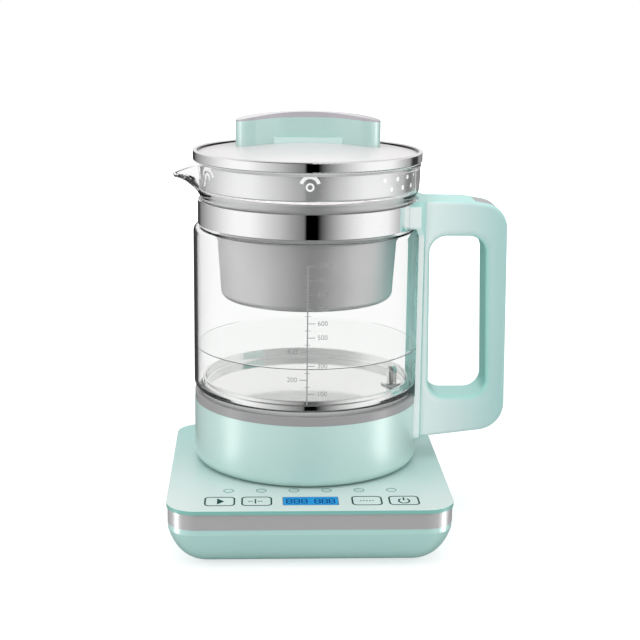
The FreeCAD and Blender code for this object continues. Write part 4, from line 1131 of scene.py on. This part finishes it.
def studio_colours(tree):
    """Panels and dark flags round the object, under a ceiling that is dark at the front."""
    x, y, z = axes(tree, add(tree, "ShaderNodeTexCoord").outputs["Generated"])
    turn = math_node(tree, "ARCTAN2", x, math_node(tree, "MULTIPLY", y, -1.0))
    share = math_node(tree, "ADD", math_node(tree, "DIVIDE", turn, 2 * math.pi), 0.5)
    walls = grey_ramp(tree, share, [((degrees + 180) / 360, grey) for degrees, grey in STUDIO_WALLS])
    below = remap(tree, z, *BELOW_SPAN, BELOW_SHARE, 1.0)
    walls = add(tree, "ShaderNodeVectorMath", {0: walls, 3: below}, operation="SCALE").outputs[0]
    overhead = remap(tree, y, *OVERHEAD_SPAN, OVERHEAD_FRONT, 1.0)
    return mixed(tree, remap(tree, z, *CEILING_SPAN), walls, overhead)


def make_world():
    """White to the camera, the studio to gloss, and one soft grey to matt surfaces."""
    world = bpy.data.worlds.new("studio")
    bpy.context.scene.world = world
    world.use_nodes = True
    world.cycles.sampling_method = "NONE"
    tree = world.node_tree
    studio = studio_colours(tree)
    path = add(tree, "ShaderNodeLightPath")
    glossy = math_node(tree, "GREATER_THAN", path.outputs["Glossy Depth"], 0.5)
    diffuse = math_node(tree, "GREATER_THAN", path.outputs["Diffuse Depth"], 0.5)
    seen = mixed(tree, diffuse, mixed(tree, glossy, WHITE, studio), MATT_GREY)
    tree.links.new(seen, tree.nodes["Background"].inputs["Color"])


# Lamps

def make_lamp(name, aim, place, size, power):
    """A rectangular lamp that points at its aim."""
    data = bpy.data.lights.new(name, "AREA")
    data.shape = "RECTANGLE"
    data.size, data.size_y = size
    data.energy = power
    lamp = bpy.data.objects.new(name, data)
    lamp.location = place
    lamp.rotation_euler = (Vector(aim) - Vector(place)).to_track_quat("-Z", "Y").to_euler()
    bpy.context.scene.collection.objects.link(lamp)
    return lamp


def link_light(lamp, names, state="INCLUDE"):
    """Lets a lamp light the named nodes alone, or everything but them."""
    group = bpy.data.collections.new(lamp.name + "_targets")
    for name in names:
        group.objects.link(nodes[name])
    for entry in group.collection_objects:
        entry.light_linking.link_state = state
    lamp.light_linking.receiver_collection = group


def make_strips(strips, targets):
    """Tall lamps at the sides whose gloss shows on the target nodes alone."""
    made = []
    for name, x, y, power in strips:
        lamp = make_lamp(name, (0, 0, STRIP_LEVEL), (x, y, STRIP_LEVEL), STRIP_SIZE, power)
        lamp.visible_diffuse = False
        link_light(lamp, targets)
        made.append(lamp)
    return made


def make_spine_lamp(grip):
    """A lamp in the jug for the handle's face beside it, which only the handle stops."""
    lamp = make_lamp("lamp_spine", SPINE_AIM, *SPINE_LAMP)
    link_light(lamp, grip)
    lamp.light_linking.blocker_collection = lamp.light_linking.receiver_collection
    return lamp


def make_neck_lamp():
    """A small lamp in the jug's neck."""
    data = bpy.data.lights.new("lamp_neck", "POINT")
    data.energy = NECK_LAMP_POWER
    data.shadow_soft_size = NECK_LAMP_RADIUS
    lamp = bpy.data.objects.new("lamp_neck", data)
    lamp.location = (0.0, 0.0, collar_top * MM)
    bpy.context.scene.collection.objects.link(lamp)
    return lamp


def make_lights():
    """Soft lamps for matt surfaces, strips for gloss, and lamps inside the jug.

    The handle's shell has a soft lamp of its own in place of the left and right ones.
    """
    grip = ["handle_shell"]
    base = ["base_tray", "base_band"]
    casings = [row["node"] for row in frame["record"]["subparts"]
               if row["material_slot"] in ("casing_mint", "casing_grey", "trim_grey")]
    upper = [name for name in casings if name not in base + grip]
    soft = [make_lamp("lamp_top", LAMP_AIM, *TOP_LAMP)]
    for name, settings in (("lamp_left", LEFT_LAMP), ("lamp_right", RIGHT_LAMP)):
        side = make_lamp(name, LAMP_AIM, *settings)
        link_light(side, grip, "EXCLUDE")
        soft.append(side)
    front = make_lamp("lamp_grip", GRIP_AIM, *GRIP_LAMP)
    link_light(front, grip)
    strips = make_strips(UPPER_STRIPS, upper)
    strips += make_strips(BASE_STRIPS, base)
    strips += make_strips(BOWL_STRIPS, ["inner_bowl"])
    soft += [front, make_spine_lamp(grip), make_neck_lamp()]
    for lamp in soft:
        lamp.visible_glossy = False
    for lamp in soft + strips:
        lamp.visible_transmission = False
        lamp.visible_camera = False


# Camera

def make_camera():
    """The photograph's own view."""
    data = bpy.data.cameras.new("camera")
    data.lens = CAMERA_LENS
    data.sensor_width = CAMERA_SENSOR
    data.clip_start, data.clip_end = CAMERA_CLIP
    camera = bpy.data.objects.new("camera", data)
    level = math.cos(CAMERA_PITCH)
    forward = Vector((-math.sin(CAMERA_YAW) * level, math.cos(CAMERA_YAW) * level, -math.sin(CAMERA_PITCH)))
    facing = forward.to_track_quat("-Z", "Y").to_matrix()
    camera.matrix_world = (Matrix.Translation(Vector(CAMERA_PLACE) * MM)
                           @ (facing @ Matrix.Rotation(CAMERA_ROLL, 3, "Z")).to_4x4())
    bpy.context.scene.collection.objects.link(camera)
    bpy.context.scene.camera = camera


dress_nodes()
make_glass_jug()
make_dish_hem()
make_water()
make_key_prints()
make_lamp_rings()
make_display_face()
make_scale()
make_lid_marks()
make_gauze()
make_floor()
make_world()
make_lights()
make_camera()
bpy.context.scene.view_settings.view_transform = "Standard"
